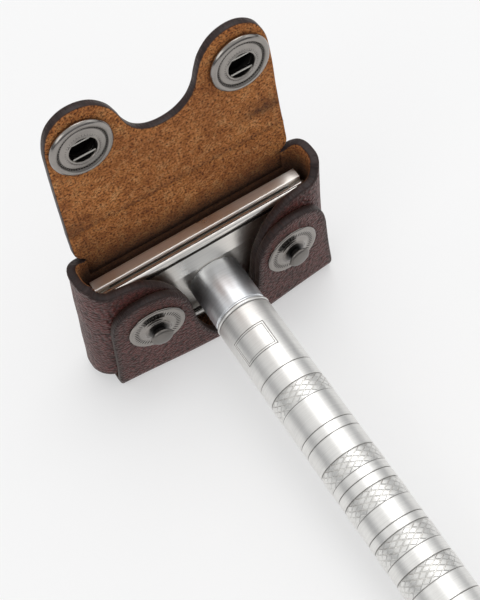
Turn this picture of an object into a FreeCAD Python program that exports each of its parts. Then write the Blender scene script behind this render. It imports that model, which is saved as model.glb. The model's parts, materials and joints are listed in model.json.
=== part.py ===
import FreeCAD, Part
import math
import os
import Sketcher
from FreeCAD import Placement, Rotation, Vector

# A double-edge safety razor lying on its side with its head inside an open leather snap sheath.
#
# Everything is designed in the razor's own frame and laid down at the end:
#   X  along the blade, the sheath's left to right
#   Y  along the handle's axis, from the handle's end (-Y) to the top of the head (+Y)
#   Z  up, out of the sheath's mouth
# The design origin is the middle of the base plate's underside, where the neck starts.
# Lengths are in millimetres and angles in degrees. A size that starts with = follows the others.

SIZES = {
    # head
    "blade_length": (43.0, "standard double-edge blade"),
    "blade_width": (22.0, "standard double-edge blade"),
    "head_overhang": (0.1, "plates beyond each end of the blade"),
    "head_length": ("=blade_length + 2 * head_overhang", "cap plate and base plate along the blade"),
    "cap_overhang": (0.2, "cap plate beyond each edge of the blade"),
    "cap_width": ("=blade_width + 2 * cap_overhang", "cap plate across the blade"),
    "cap_edge": (2.5, "height of the cap plate's straight edge"),
    "cap_crown": (1.3, "rise of the cap plate's domed top above its edge"),
    "cap_chamfer": (0.4, "chamfer along the cap plate's lower edges"),
    "base_height": (2.6, "base plate, underside to blade seat"),
    "guard_overhang": (1.4, "guards beyond each edge of the blade"),
    "base_width": ("=blade_width + 2 * guard_overhang", "base plate across both guards"),
    "boss_width": (10.4, "flat middle of the base plate's underside"),
    "guard_height": (1.7, "diameter of the rounded guard bar"),
    "groove_width": (1.5, "channel between a guard bar and the base plate's slope"),
    "guard_level": (0.91, "guard bar's axis above the underside"),
    "slope_rise": (0.78, "outer end of the base plate's slope above the underside"),
    "ledge_height": (1.17, "floor of the channel above the underside"),
    "ledge_bend": (0.3, "bend in the foot of the channel"),
    "corner_cut": (0.9, "chamfer on the base plate's four corners"),
    "blade_gauge": (0.1, "standard double-edge blade"),
    "blade_notch": (2.6, "cut-away at each blade corner"),
    "pin_spacing": (26.0, "between the cap's two locating pins"),
    "pin_diameter": (2.8, "locating pin"),
    "stud_thread": (4.8, "cap stud, an M5 thread"),
    "stud_reach": (6.4, "cap stud beyond the base plate's underside"),
    "seat_depth": (1.6, "depth of the stud and pins in the cap plate"),
    "running_gap": (0.1, "radial clearance of the stud and pins in their holes"),
    # handle
    "grip_diameter": (10.9, "grip tube"),
    "neck_diameter": ("=grip_diameter - 0.4", "polished neck collar"),
    "neck_length": (10.35, "neck collar, base plate to lip"),
    "band_rise": (0.06, "height of the knurled bands above the grip"),
    "groove_depth": (0.25, "turned ring grooves"),
    "groove_half": (0.2, "half the width of a ring groove"),
    "tube_wall": (1.65, "wall of the grip tube"),
    "tube_bore": ("=grip_diameter - 2 * tube_wall", "bore of the grip tube"),
    "spigot_length": (5.0, "neck collar's spigot in the grip tube"),
    "handle_length": (90.0, "base plate to the handle's flat end"),
    "pattern_length": (90.0, "handle length that the places along the grip are given for"),
    "end_flange": (1.6, "thickness of the end plug's flange"),
    "end_chamfer": (0.6, "chamfer round the handle's end"),
    "slot_depth": (0.8, "recess in the end plug"),
    "turning_gap": (0.03, "radial clearance of the grip tube on the neck's spigot"),
    # sheath
    "leather": (1.8, "leather thickness"),
    "side_room": (1.3, "head to the inner face of a side wall"),
    "side_inside": ("=head_length / 2 + side_room", "middle to the inner face of a side wall"),
    "back_room": (0.5, "head to the inner face of the back wall"),
    "back_inside": ("=base_height + blade_gauge + cap_edge + cap_crown + back_room", "design origin to the back wall's inner face"),
    "floor_room": (0.8, "head to the sheath's inner floor"),
    "floor_inside": ("=base_width / 2 + floor_room", "design origin down to the sheath's inner floor"),
    "front_gap": (1.0, "base plate to the wing's inner face, at the studs"),
    "front_slope": (5.0, "each front wall turns this far back towards its side"),
    "wall_bend": (2.6, "inside bend radius of the side walls"),
    "floor_bend": (3.0, "outside bend radius between floor and front lobes"),
    "floor_flat": (0.35, "how far the floor's front bend is pressed flat by its own weight"),
    "floor_half": ("=side_inside + 1.4", "half the width of the floor and lobes at the bottom"),
    "neck_gap": ("=grip_diameter / 2 + 0.85", "middle to the edge of a front wing, which clears the neck"),
    "fold_room": (3.2, "head up to the back fold"),
    "fold_height": ("=base_width / 2 + fold_room", "design origin up to the back fold"),
    "wing_top": ("=fold_height - 0.3", "top edge of the front wings"),
    "wing_curve": (9.5, "rounded upper corner of a front wing"),
    "ear_top": ("=fold_height + 1.6", "top of the side walls beside the flap"),
    "ear_inside": ("=side_inside - 0.5", "middle to the notch between flap and side wall"),
    "lobe_top": (11.3, "top of the front lobes"),
    "lobe_outer": ("=side_inside", "outer edge of a front lobe at its top"),
    "lobe_inner": ("=neck_gap + 0.6", "inner edge of a front lobe"),
    "lobe_curve": ("=(lobe_outer - lobe_inner) / 2 - 0.2", "round top of a front lobe"),
    "notch_half": (4.1, "half the width of the notch under the neck"),
    "notch_floor": (11.5, "design origin down to the notch's bottom"),
    "notch_curve": (3.0, "rounded foot of that notch"),
    "notch_throat": (6.5, "notch's bottom up to the lobes' inner edges"),
    "throat_curve": (2.5, "bend from the notch into the lobes' inner edges"),
    # flap
    "fold_relief": (0.25, "gap either side of a fold line"),
    "fold_bevel": (0.8, "bevel on the outer face at a fold"),
    "flap_lean": (3.5, "the open flap leans this far back"),
    "closed_gap": (2.4, "front lobes to the closed flap's inner face"),
    "bridge_length": ("=back_inside + front_gap + 2 * leather + closed_gap", "back fold to front fold"),
    "flap_root": ("=side_inside - 1.0", "half the width of the flap at the back fold"),
    "flap_middle": ("=side_inside - 1.5", "half the width of the flap at the front fold"),
    "flap_end": ("=side_inside - 2.2", "half the width of the flap at its lobes"),
    "flap_reach": ("=bridge_length + fold_height + 5.3", "back fold to the tip of a flap lobe"),
    "flap_lobe_inner": ("=neck_gap + 1.1", "middle to the inner edge of a flap lobe"),
    "flap_lobe_curve": ("=(flap_end - flap_lobe_inner) / 2 - 0.25", "round tip of a flap lobe"),
    "flap_cut": ("=bridge_length + fold_height - neck_gap - 1.0", "back fold to the bottom of the cut-out between the lobes"),
    "flap_cut_curve": (5.9, "rounded corners of that cut-out"),
    # snap fasteners
    "snap_across": ("=head_length / 2 - 7.0", "middle to each snap's axis"),
    "snap_height": (2.3, "design origin up to the studs"),
    "snap_radius": (5.6, "flange of stud and socket"),
    "flange_gauge": (0.45, "thickness of the stud's flange"),
    "boss_radius": (2.6, "raised boss under the stud"),
    "boss_rise": (0.85, "top of that boss above the leather"),
    "waist_radius": (1.4, "narrow waist that the spring grips"),
    "waist_rise": (2.0, "top of the waist above the leather"),
    "button_radius": (2.05, "head of the stud"),
    "button_rise": (2.9, "top of the stud above the leather"),
    "rivet_radius": (1.2, "shank of the eyelet that holds the stud"),
    "rivet_flange": (4.0, "eyelet's flange inside the sheath"),
    "rivet_gauge": (0.4, "thickness of that flange"),
    "socket_rise": (1.3, "socket above the flap's inner face"),
    "mouth_radius": (2.45, "mouth of the socket"),
    "spring_room": (3.6, "radius of the spring's groove inside the socket"),
    "wire_radius": (0.2, "spring wire"),
    "wire_spacing": (1.65, "socket's axis to each spring wire"),
    "wire_rise": (0.65, "spring wires above the flap's inner face"),
    "barrel_radius": (3.2, "cap's barrel through the leather"),
    "barrel_bore": (2.6, "bore of that barrel"),
    "button_cap": (0.7, "thickness of the outer cap"),
}

# Places along the grip, from the base plate towards the handle's end.
RING_GROOVES = (25.3, 38.4, 40.4, 49.8, 58.7, 73.8)
KNURLED_BANDS = ((28.9, 32.5), (44.6, 48.0), (51.7, 55.1), (60.3, 63.9), (66.6, 70.0))

doc = FreeCAD.newDocument("SafetyRazorInSheath")
sheet = doc.addObject("Spreadsheet::Sheet", "Sizes")
for row, (alias, (value, note)) in enumerate(SIZES.items(), start=1):
    sheet.set(f"A{row}", alias)
    sheet.setAlias(f"B{row}", alias)
    sheet.set(f"B{row}", str(value))
    sheet.set(f"C{row}", note)
doc.recompute()


def read(alias):
    """The number in a named cell."""
    return float(sheet.get(alias))


def sheet_text(text):
    """Expression text with each size's alias pointed at the sheet."""
    words = text.replace("(", " ( ").replace(")", " ) ").split()
    return " ".join("Sizes." + word if word in SIZES else word for word in words)


# ---------------------------------------------------------------- helpers for bodies and sketches

SUB_PARTS = []      # (object, its placement in the design frame)


def keep(thing, place=None):
    """Registers a finished sub-part with its place in the design frame."""
    thing.Label = thing.Name
    SUB_PARTS.append((thing, place or Placement()))
    return thing


def new_sketch(body, role, name):
    """A sketch on one of the body's own origin planes."""
    sketch = body.newObject("Sketcher::SketchObject", name)
    plane = next(f for f in body.Origin.OriginFeatures if f.Role == role)
    sketch.AttachmentSupport = [(plane, "")]
    sketch.MapMode = "FlatFace"
    return sketch


def pin_point(sketch, edge, across, along):
    """Fixes the start of an edge at a place given as two expressions, or 0 for on the axis."""
    for kind, text, axis in (("DistanceX", across, -2), ("DistanceY", along, -1)):
        if text == "0":
            sketch.addConstraint(Sketcher.Constraint("PointOnObject", edge, 1, axis))
        else:
            index = sketch.addConstraint(Sketcher.Constraint(kind, -1, 1, edge, 1, 1.0))
            sketch.setExpression(f"Constraints[{index}]", sheet_text(text))


def draw_polygon(sketch, corners):
    """A closed polygon whose corners are pairs of expressions."""
    count = len(corners)
    rough = [Vector(i + 1.0, (i * i) % 5 + 0.5 * i, 0) for i in range(count)]
    for i in range(count):
        sketch.addGeometry(Part.LineSegment(rough[i], rough[(i + 1) % count]), False)
    for i in range(count):
        sketch.addConstraint(Sketcher.Constraint("Coincident", i, 2, (i + 1) % count, 1))
    for i, (across, along) in enumerate(corners):
        pin_point(sketch, i, across, along)


def turned(name, outline, place=None):
    """A lathe-turned piece: an outline of (radius, distance along the axis), the axis being Y."""
    body = doc.addObject("PartDesign::Body", name)
    sketch = new_sketch(body, "XY_Plane", name + "_outline")
    draw_polygon(sketch, outline)
    turn = body.newObject("PartDesign::Revolution", name + "_turn")
    turn.Profile = sketch
    turn.ReferenceAxis = (sketch, ["V_Axis"])
    turn.Angle = 360
    body.Tip = turn
    return keep(body, place)


def drill(body, name, holes, level, depth):
    """Round holes along Y: (x, radius) expressions, to a depth either side of a level."""
    sketch = new_sketch(body, "XZ_Plane", name)
    sketch.AttachmentOffset = Placement(Vector(0, 0, -1), Rotation())
    sketch.setExpression("AttachmentOffset.Base.z", sheet_text(f"- ( {level} )"))
    for index, (across, radius) in enumerate(holes):
        sketch.addGeometry(Part.Circle(Vector(5 * index, 0, 0), Vector(0, 0, 1), 1), False)
        sketch.addConstraint(Sketcher.Constraint("PointOnObject", index, 3, -1))
        if across == "0":
            sketch.addConstraint(Sketcher.Constraint("PointOnObject", index, 3, -2))
        else:
            place = sketch.addConstraint(Sketcher.Constraint("DistanceX", -1, 1, index, 3, 1.0))
            sketch.setExpression(f"Constraints[{place}]", sheet_text(across))
        width = sketch.addConstraint(Sketcher.Constraint("Radius", index, 1.0))
        sketch.setExpression(f"Constraints[{width}]", sheet_text(radius))
    pocket = body.newObject("PartDesign::Pocket", name + "_pocket")
    pocket.Profile = sketch
    pocket.SideType = "Symmetric"
    pocket.setExpression("Length", sheet_text(f"2 * ( {depth} )"))
    body.Tip = pocket
    return pocket


def edges_through(corners):
    """Edges of a closed outline: each corner is (point, bend radius)."""
    bends = []
    count = len(corners)
    for i, (point, radius) in enumerate(corners):
        before = (corners[i - 1][0] - point).normalize()
        after = (corners[(i + 1) % count][0] - point).normalize()
        if radius == 0:
            bends.append((point, None, point))
            continue
        half = before.getAngle(after) / 2
        centre = point + (before + after).normalize() * (radius / math.sin(half))
        middle = centre + (point - centre).normalize() * radius
        back_off = radius / math.tan(half)
        bends.append((point + before * back_off, middle, point + after * back_off))
    edges = []
    for i, (start, middle, end) in enumerate(bends):
        came_from = bends[i - 1][2]
        if came_from.distanceToPoint(start) > 1e-6:
            edges.append(Part.makeLine(came_from, start))
        if middle is not None:
            edges.append(Part.Arc(start, middle, end).toShape())
    return edges


def prism(corners, sweep):
    """A solid from a closed outline with rounded corners, swept along a vector."""
    return Part.Face(Part.Wire(edges_through(corners))).extrude(sweep)


def mirrored(corners):
    """Adds the left half to the right half of an outline that starts and ends near the middle."""
    left = [(Vector(-point.x, point.y, point.z), radius) for point, radius in reversed(corners)]
    return corners + left


def shaped(name, shape, place=None):
    """A piece whose shape the sheet drives through this script."""
    piece = doc.addObject("Part::Feature", name)
    piece.Shape = shape.removeSplitter()
    return keep(piece, place)


def rod(radius, start, end):
    """A solid cylinder between two points."""
    along = end - start
    return Part.makeCylinder(radius, along.Length, start, along)


# ---------------------------------------------------------------- razor head

def cap_plate():
    """Domed top plate: a thick straight edge, chamfered below, with blind holes for stud and pins."""
    half = read("cap_width") / 2
    cut = read("cap_chamfer")
    low = read("base_height") + read("blade_gauge")
    edge = low + read("cap_edge")
    top = edge + read("cap_crown")
    start = -read("head_length") / 2
    corners = [
        Vector(start, low, -half + cut),
        Vector(start, low + cut, -half),
        Vector(start, edge, -half),
    ]
    other = [Vector(start, p.y, -p.z) for p in reversed(corners)]
    sides = [Part.makeLine(a, b) for a, b in zip(corners, corners[1:])]
    sides.append(Part.Arc(corners[-1], Vector(start, top, 0), other[0]).toShape())
    sides += [Part.makeLine(a, b) for a, b in zip(other, other[1:])]
    sides.append(Part.makeLine(other[-1], corners[0]))
    plate = Part.Face(Part.Wire(sides)).extrude(Vector(read("head_length"), 0, 0))
    seat = low + read("seat_depth")
    plate = plate.cut(rod(read("stud_thread") / 2, Vector(0, low - 1, 0), Vector(0, seat, 0)))
    for x in (-read("pin_spacing") / 2, read("pin_spacing") / 2):
        plate = plate.cut(rod(read("pin_diameter") / 2, Vector(x, low - 1, 0), Vector(x, seat, 0)))
    return shaped("cap_plate", plate)


def base_plate():
    """Lower plate: flat boss, sloping flanks, a channel and a rounded guard bar on each side."""
    half = read("base_width") / 2
    boss = read("boss_width") / 2
    top = read("base_height")
    bar = read("guard_height") / 2
    bar_level = read("guard_level")
    inner = half - 2 * bar - read("groove_width")
    ledge = read("ledge_height")
    full = 0.98 * bar       # a bend just short of a half circle
    foot = inner + 0.4 * read("groove_width")
    start = -read("head_length") / 2
    outline = [
        (boss, 0, 0), (inner, read("slope_rise"), 0), (foot, ledge, read("ledge_bend")),
        (half - 2 * bar, ledge, 0), (half - 2 * bar, bar_level - bar, full),
        (half, bar_level - bar, full), (half, bar_level + bar, full),
        (half - 2 * bar, bar_level + bar, 0), (inner, top, 0),
    ]
    right = [(Vector(start, y, z), radius) for z, y, radius in outline]
    left = [(Vector(start, p.y, -p.z), radius) for p, radius in reversed(right)]
    plate = prism(right + left, Vector(read("head_length"), 0, 0))
    cut = read("corner_cut")
    reach = read("head_length") / 2
    for along in (-1, 1):
        for across in (-1, 1):
            corner = [
                (Vector(along * (reach + 1), -5, across * (half + 1)), 0),
                (Vector(along * (reach - cut - 1), -5, across * (half + 1)), 0),
                (Vector(along * (reach + 1), -5, across * (half - cut - 1)), 0),
            ]
            plate = plate.cut(prism(corner, Vector(0, top + 10, 0)))
    gap = read("running_gap")
    plate = plate.cut(rod(read("stud_thread") / 2 + gap, Vector(0, -1, 0), Vector(0, top + 1, 0)))
    for x in (-read("pin_spacing") / 2, read("pin_spacing") / 2):
        hole = rod(read("pin_diameter") / 2 + gap, Vector(x, -1, 0), Vector(x, top + 1, 0))
        plate = plate.cut(hole)
    return shaped("base_plate", plate)


def blade():
    """Thin steel blade with cut-away corners and holes for the stud and pins."""
    body = doc.addObject("PartDesign::Body", "blade")
    sketch = new_sketch(body, "XZ_Plane", "blade_outline")
    sketch.AttachmentOffset = Placement(Vector(0, 0, -1), Rotation())
    sketch.setExpression("AttachmentOffset.Base.z", sheet_text("- ( base_height + blade_gauge / 2 )"))
    end, edge = "blade_length / 2", "blade_width / 2"
    corners = []
    for x, z in ((1, 1), (1, -1), (-1, -1), (-1, 1)):
        step = [
            (f"{x} * ( {end} - blade_notch )", f"{z} * {edge}"),
            (f"{x} * ( {end} - blade_notch )", f"{z} * ( {edge} - blade_notch )"),
            (f"{x} * {end}", f"{z} * ( {edge} - blade_notch )"),
        ]
        corners += step if x == z else step[::-1]
    draw_polygon(sketch, corners)
    pad = body.newObject("PartDesign::Pad", "blade_pad")
    pad.Profile = sketch
    pad.SideType = "Symmetric"
    pad.setExpression("Length", "Sizes.blade_gauge")
    body.Tip = pad
    doc.recompute()
    pin = "pin_diameter / 2 + running_gap"
    holes = [
        ("0", "stud_thread / 2 + running_gap"),
        ("pin_spacing / 2", pin),
        ("- pin_spacing / 2", pin),
    ]
    drill(body, "blade_holes", holes, "base_height", "base_height")
    return keep(body)


def head_pins():
    """Threaded stud and two locating pins, fixed in the cap plate."""
    seat = "base_height + blade_gauge + seat_depth"
    stud = "stud_thread / 2"
    turned("cap_stud", [
        ("0", seat), (stud, seat), (stud, "- stud_reach + 0.5"),
        (f"{stud} - 0.5", "- stud_reach"), ("0", "- stud_reach"),
    ])
    pin = "pin_diameter / 2"
    for name, side in (("cap_pin_left", -1), ("cap_pin_right", 1)):
        turned(name, [
            ("0", seat), (pin, seat), (pin, "0.4"), (f"{pin} - 0.3", "0.1"), ("0", "0.1"),
        ], Placement(Vector(side * read("pin_spacing") / 2, 0, 0), Rotation()))


# ---------------------------------------------------------------- handle

def neck_collar():
    """Polished collar with the thread for the stud and a spigot that carries the grip tube."""
    bore = "stud_thread / 2 + running_gap"
    neck = "neck_diameter / 2"
    spigot = "tube_bore / 2 - turning_gap"
    deep = "- stud_reach - 1.5"
    turned("neck_collar", [
        (bore, "0"), (f"{neck} - 0.2", "0"), (neck, "- 0.2"), (neck, "- neck_length"),
        (spigot, "- neck_length"), (spigot, "- neck_length - spigot_length"),
        ("0", "- neck_length - spigot_length"), ("0", deep), (bore, deep),
    ])


def grip_tube():
    """Hollow grip: turned ring grooves, and knurled bands a little proud of the tube."""
    outer = "grip_diameter / 2"
    low = f"{outer} - groove_depth"
    high = f"{outer} + band_rise"
    marks = [(place, None) for place in RING_GROOVES] + list(KNURLED_BANDS)
    outline = [
        ("tube_bore / 2", "- neck_length"), (f"{outer} - 0.25", "- neck_length"),
        (outer, "- neck_length - 0.25"),
    ]
    for start, end in sorted(marks, key=lambda mark: mark[0]):
        edges = [start] if end is None else [start, end]
        for side, distance in enumerate(edges):
            place = f"{distance} * handle_length / pattern_length"
            rise_before = high if side == 1 else outer
            rise_after = high if side == 0 and end is not None else outer
            outline += [
                (rise_before, f"- ( {place} - groove_half )"),
                (low, f"- ( {place} - groove_half / 2 )"),
                (low, f"- ( {place} + groove_half / 2 )"),
                (rise_after, f"- ( {place} + groove_half )"),
            ]
    tube_end = "- handle_length + end_flange"
    outline += [(outer, tube_end), ("tube_bore / 2", tube_end)]
    turned("grip_tube", outline)


def end_plug():
    """Plug that closes the grip tube, with a shallow round recess in its end."""
    outer = "grip_diameter / 2"
    shoulder = "- handle_length + end_flange"
    end = "- handle_length"
    turned("end_plug", [
        ("0", f"{shoulder} + 5"), ("tube_bore / 2", f"{shoulder} + 5"), ("tube_bore / 2", shoulder),
        (outer, shoulder), (outer, f"{end} + end_chamfer"), (f"{outer} - end_chamfer", end),
        (f"{outer} - 2", end), (f"{outer} - 2", f"{end} + slot_depth"),
        ("0", f"{end} + slot_depth"),
    ])


# ---------------------------------------------------------------- leather sheath

def front_face(x, layers):
    """Y of the front wall's face at a distance from the middle, a number of leathers outwards."""
    slope = math.radians(read("front_slope"))
    at_stud = -read("front_gap") - layers * read("leather") / math.cos(slope)
    return at_stud + (abs(x) - read("snap_across")) * math.tan(slope)


def stud_seat(side):
    """Where a stud's flange sits on the outer face of a front lobe."""
    across = read("snap_across")
    return Vector(side * across, front_face(across, 2), read("snap_height"))


def stud_axis(side):
    """Outward direction of a stud on the sloping front wall."""
    slope = math.radians(read("front_slope"))
    return Vector(side * math.sin(slope), -math.cos(slope), 0)


def wrap_outline(grown):
    """Corners of the wrap-around wall's face, right half, grown outwards by whole leathers."""
    extra = grown * read("leather")
    side = read("side_inside") + extra
    back = read("back_inside") + extra
    bend = read("wall_bend") + extra
    gap = read("neck_gap")
    return [
        (Vector(gap, front_face(gap, grown), 0), 0),
        (Vector(side, front_face(side, grown), 0), bend),
        (Vector(side, back, 0), bend),
    ]


def wrap_panel():
    """Back wall and the two side wings that run round the head's ends to the front."""
    outer = wrap_outline(1)
    inner = wrap_outline(0)
    flip = [(Vector(-p.x, p.y, 0), radius) for p, radius in outer]
    flip_inner = [(Vector(-p.x, p.y, 0), radius) for p, radius in inner]
    ring = outer + flip[::-1] + flip_inner + inner[::-1]
    bottom = -read("floor_inside")
    wall = prism(ring, Vector(0, 0, read("ear_top") - bottom))
    wall.translate(Vector(0, 0, bottom))

    far = 60
    gap, top, ear = read("neck_gap"), read("wing_top"), read("ear_inside")
    split = read("back_inside") - read("wall_bend")
    opening = [
        (Vector(gap, -far, bottom - 1), 0), (Vector(gap, -far, top), read("wing_curve")),
        (Vector(ear, -far, top), 0), (Vector(ear, -far, far), 0),
    ]
    wall = wall.cut(prism(mirrored(opening), Vector(0, far + split, 0)))

    # The floor's bend takes up the corner below the front wings.
    lift = read("floor_bend") - read("leather") + 0.1
    wall = wall.cut(Part.makeBox(2 * far, far + split, lift, Vector(-far, -far, bottom)))

    back = read("back_inside")
    fold = read("fold_height")
    crown = [
        (Vector(-ear, split, fold - 0.3), 0), (Vector(-ear, back - 0.01, fold - 0.3), 0),
        (Vector(-ear, back, fold), 0),
        (Vector(-ear, back + read("leather"), fold - read("fold_bevel")), 0),
        (Vector(-ear, far, fold - read("fold_bevel")), 0), (Vector(-ear, far, far), 0),
        (Vector(-ear, split, far), 0),
    ]
    wall = wall.cut(prism(crown, Vector(2 * ear, 0, 0)))
    return shaped("wrap_panel", drill_leather(wall))


def drill_leather(wall):
    """Holes for the shanks of the eyelets."""
    for side in (-1, 1):
        centre = stud_seat(side)
        along = stud_axis(side) * (3 * read("leather"))
        wall = wall.cut(rod(read("rivet_radius") + read("running_gap"), centre - along, centre + along))
    return wall


def lobe_panel(floor_height, tilt):
    """Floor strip that folds up at the front into two round lobes."""
    slope = math.radians(read("front_slope"))
    thick = read("leather")
    thick_y = thick / math.cos(slope)
    back = read("back_inside") + thick
    half = read("floor_half")
    base = -read("floor_inside")
    bend = read("floor_bend")
    front = front_face(0, 2)
    profile = [
        (Vector(0, back, base), 0), (Vector(0, back, base - thick), 0),
        (Vector(0, front, base - thick), bend), (Vector(0, front, 30), 0),
        (Vector(0, front + thick_y, 30), 0), (Vector(0, front + thick_y, base), bend - thick),
    ]
    sweep = Vector(half, half * math.tan(slope), 0)
    right = prism(profile, sweep)
    panel = right.fuse(right.mirror(Vector(0, 0, 0), Vector(1, 0, 0)))

    lobes = [
        (Vector(read("notch_half"), -60, -read("notch_floor")), read("notch_curve")),
        (Vector(read("lobe_inner"), -60, read("notch_throat") - read("notch_floor")),
         read("throat_curve")),
        (Vector(read("lobe_inner"), -60, read("lobe_top")), read("lobe_curve")),
        (Vector(read("lobe_outer"), -60, read("lobe_top")), read("lobe_curve")),
        (Vector(half, -60, base - thick - 1), 0),
    ]
    panel = panel.common(prism(mirrored(lobes), Vector(0, 120, 0)))
    corner = read("wall_bend") + thick
    plan = [(Vector(half, -60, -60), 0), (Vector(half, back, -60), corner)]
    panel = panel.common(prism(mirrored(plan), Vector(0, 0, 120)))

    # The bend rests on the surface and is pressed flat there, square to the surface's upward normal.
    under = Part.makeBox(200, 400, 50, Vector(-100, -200, -50))
    under.Placement = lying(floor_height, tilt).inverse()
    return shaped("lobe_panel", drill_leather(panel.cut(under)))


def fold_place():
    """Frame of the open flap: Z up the flap from the back fold, Y from its inner to outer face."""
    corner = Vector(0, read("back_inside"), read("fold_height"))
    return Placement(corner, Rotation(Vector(1, 0, 0), -read("flap_lean")))


def flap_plate(name, outline, start, end, tail):
    """A flat leather panel between two heights, bevelled on its outer face at its folds."""
    thick = read("leather")
    bevel = read("fold_bevel")
    side = [
        (Vector(-60, 0, start), 0), (Vector(-60, thick, start + bevel), 0),
        (Vector(-60, thick, end - (bevel if tail else 0)), 0), (Vector(-60, 0, end), 0),
    ]
    slab = prism(side, Vector(120, 0, 0))
    panel = slab.common(prism(mirrored(outline), Vector(0, 3 * thick, 0)))
    if not tail:
        for across in (-read("snap_across"), read("snap_across")):
            centre = Vector(across, -thick, snap_reach())
            hole = rod(read("barrel_radius") + 0.05, centre, centre + Vector(0, 3 * thick, 0))
            panel = panel.cut(hole)
    return shaped(name, panel, fold_place())


def snap_reach():
    """Distance up the flap from the back fold to the sockets, which meet the studs when closed."""
    return read("bridge_length") + read("fold_height") - read("snap_height")


def flap_panels():
    """Bridge over the head, and the front panel with two lobes that carry the sockets."""
    relief = read("fold_relief")
    fold = read("bridge_length")
    bridge = [
        (Vector(read("flap_root"), -1, 0), 0), (Vector(read("flap_middle"), -1, fold), 0),
    ]
    flap_plate("flap_bridge", bridge, relief, fold - relief, True)
    front = [
        (Vector(read("flap_lobe_inner"), -1, read("flap_cut")), read("flap_cut_curve")),
        (Vector(read("flap_lobe_inner"), -1, read("flap_reach")), read("flap_lobe_curve")),
        (Vector(read("flap_end"), -1, read("flap_reach")), read("flap_lobe_curve")),
        (Vector(read("flap_middle"), -1, fold), 0),
    ]
    flap_plate("flap_front", front, fold + relief, read("flap_reach") + 1, False)


# ---------------------------------------------------------------- snap fasteners

def snap_studs():
    """Studs on the front lobes and the eyelets that rivet them through both leathers."""
    shank = "rivet_radius"
    for name, side in (("left", -1), ("right", 1)):
        place = Placement(stud_seat(side), Rotation(Vector(0, 1, 0), stud_axis(side)))
        turned("stud_" + name, [
            (f"{shank} + 0.02", "0"), ("snap_radius", "0"), ("snap_radius", "flange_gauge - 0.15"),
            ("snap_radius - 0.3", "flange_gauge"), ("boss_radius + 0.3", "flange_gauge"),
            ("boss_radius", "boss_rise"), ("waist_radius", "boss_rise"),
            ("waist_radius", "waist_rise"), ("button_radius", "waist_rise + 0.15"),
            ("button_radius", "button_rise - 0.35"), ("button_radius - 0.6", "button_rise"),
            ("0", "button_rise"), ("0", "boss_rise - 0.15"),
            (f"{shank} + 0.02", "boss_rise - 0.15"),
        ], place)
        inside = "- 2 * leather"
        turned("stud_eyelet_" + name, [
            ("0", "boss_rise - 0.2"), (shank, "boss_rise - 0.2"), (shank, inside),
            ("rivet_flange", inside), ("rivet_flange", f"{inside} - rivet_gauge"),
            ("0", f"{inside} - rivet_gauge"),
        ], place)


def snap_sockets():
    """Sockets on the flap's inner face, their spring wires, and the caps that hold them."""
    for name, side in (("left", -1), ("right", 1)):
        local = Vector(side * read("snap_across"), 0, snap_reach())
        place = fold_place().multiply(Placement(local, Rotation(Vector(0, 0, 1), 180)))
        groove = "wire_rise - wire_radius - 0.1"
        groove_top = "wire_rise + wire_radius + 0.1"
        turned("socket_" + name, [
            ("mouth_radius", "0"), ("snap_radius", "0"), ("snap_radius", "0.8"),
            ("snap_radius - 0.35", "1.15"), ("snap_radius - 0.9", "1.15"),
            ("snap_radius - 1.2", "0.8"), ("spring_room + 0.5", "0.8"),
            ("spring_room + 0.25", "socket_rise"), ("mouth_radius + 0.15", "socket_rise"),
            ("mouth_radius", "socket_rise - 0.15"),
            ("mouth_radius", groove_top), ("spring_room", groove_top), ("spring_room", groove),
            ("mouth_radius", groove),
        ], place)
        reach = math.sqrt((read("spring_room") - 0.05) ** 2 - (read("wire_spacing") + 0.2) ** 2)
        wires = [
            rod(read("wire_radius"), Vector(-reach, read("wire_rise"), z),
                Vector(reach, read("wire_rise"), z))
            for z in (-read("wire_spacing"), read("wire_spacing"))
        ]
        shaped("socket_spring_" + name, Part.makeCompound(wires), place)
        turned("socket_cap_" + name, [
            ("0", "- leather - button_cap"), ("snap_radius - 1.2", "- leather - button_cap"),
            ("snap_radius", "- leather - 0.25"), ("snap_radius", "- leather"),
            ("barrel_radius", "- leather"), ("barrel_radius", "0"), ("barrel_bore", "0"),
            ("barrel_bore", "- leather"), ("0", "- leather"),
        ], place)


# ---------------------------------------------------------------- laying the razor down

def lying_tilt():
    """Tilt about X that puts the handle's end and the sheath's front bend on one surface."""
    bend = read("floor_bend")
    along = front_face(0, 2) + bend + read("handle_length") - read("end_chamfer")
    down = -read("floor_inside") - read("leather") + bend + read("grip_diameter") / 2
    rest = bend - read("floor_flat")
    return math.asin(rest / math.hypot(along, down)) - math.atan2(down, along)


def lying_lift(tilt):
    """Height of the design origin above the surface."""
    end = read("handle_length") - read("end_chamfer")
    return end * math.sin(tilt) + read("grip_diameter") / 2 * math.cos(tilt)


def lying(height, tilt, back=0):
    """Placement of the design frame on the surface."""
    return Placement(Vector(0, back, height), Rotation(Vector(1, 0, 0), math.degrees(tilt)))


tilt = lying_tilt()
height = lying_lift(tilt)
cap_plate()
head_pins()
blade()
base_plate()
neck_collar()
grip_tube()
end_plug()
wrap_panel()
lobe_panel(height, tilt)
flap_panels()
snap_studs()
snap_sockets()
doc.recompute()

# The row's origin is the middle of the footprint, on the surface.
for piece, place in SUB_PARTS:
    piece.Placement = lying(height, tilt).multiply(place)
doc.recompute()
boxes = [piece.Shape.optimalBoundingBox(False) for piece, place in SUB_PARTS]
back = -(min(box.YMin for box in boxes) + max(box.YMax for box in boxes)) / 2
for piece, place in SUB_PARTS:
    piece.Placement = lying(height, tilt, back).multiply(place)
doc.recompute()

for thing in doc.Objects:
    if {"Invalid", "Error"} & set(thing.State):
        raise RuntimeError(f"{thing.Name} did not compute: {thing.State}")
for piece, place in SUB_PARTS:
    if piece.Shape.isNull() or not piece.Shape.isValid() or not piece.Shape.Solids:
        raise RuntimeError(f"{piece.Label} has no valid solid")

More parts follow.
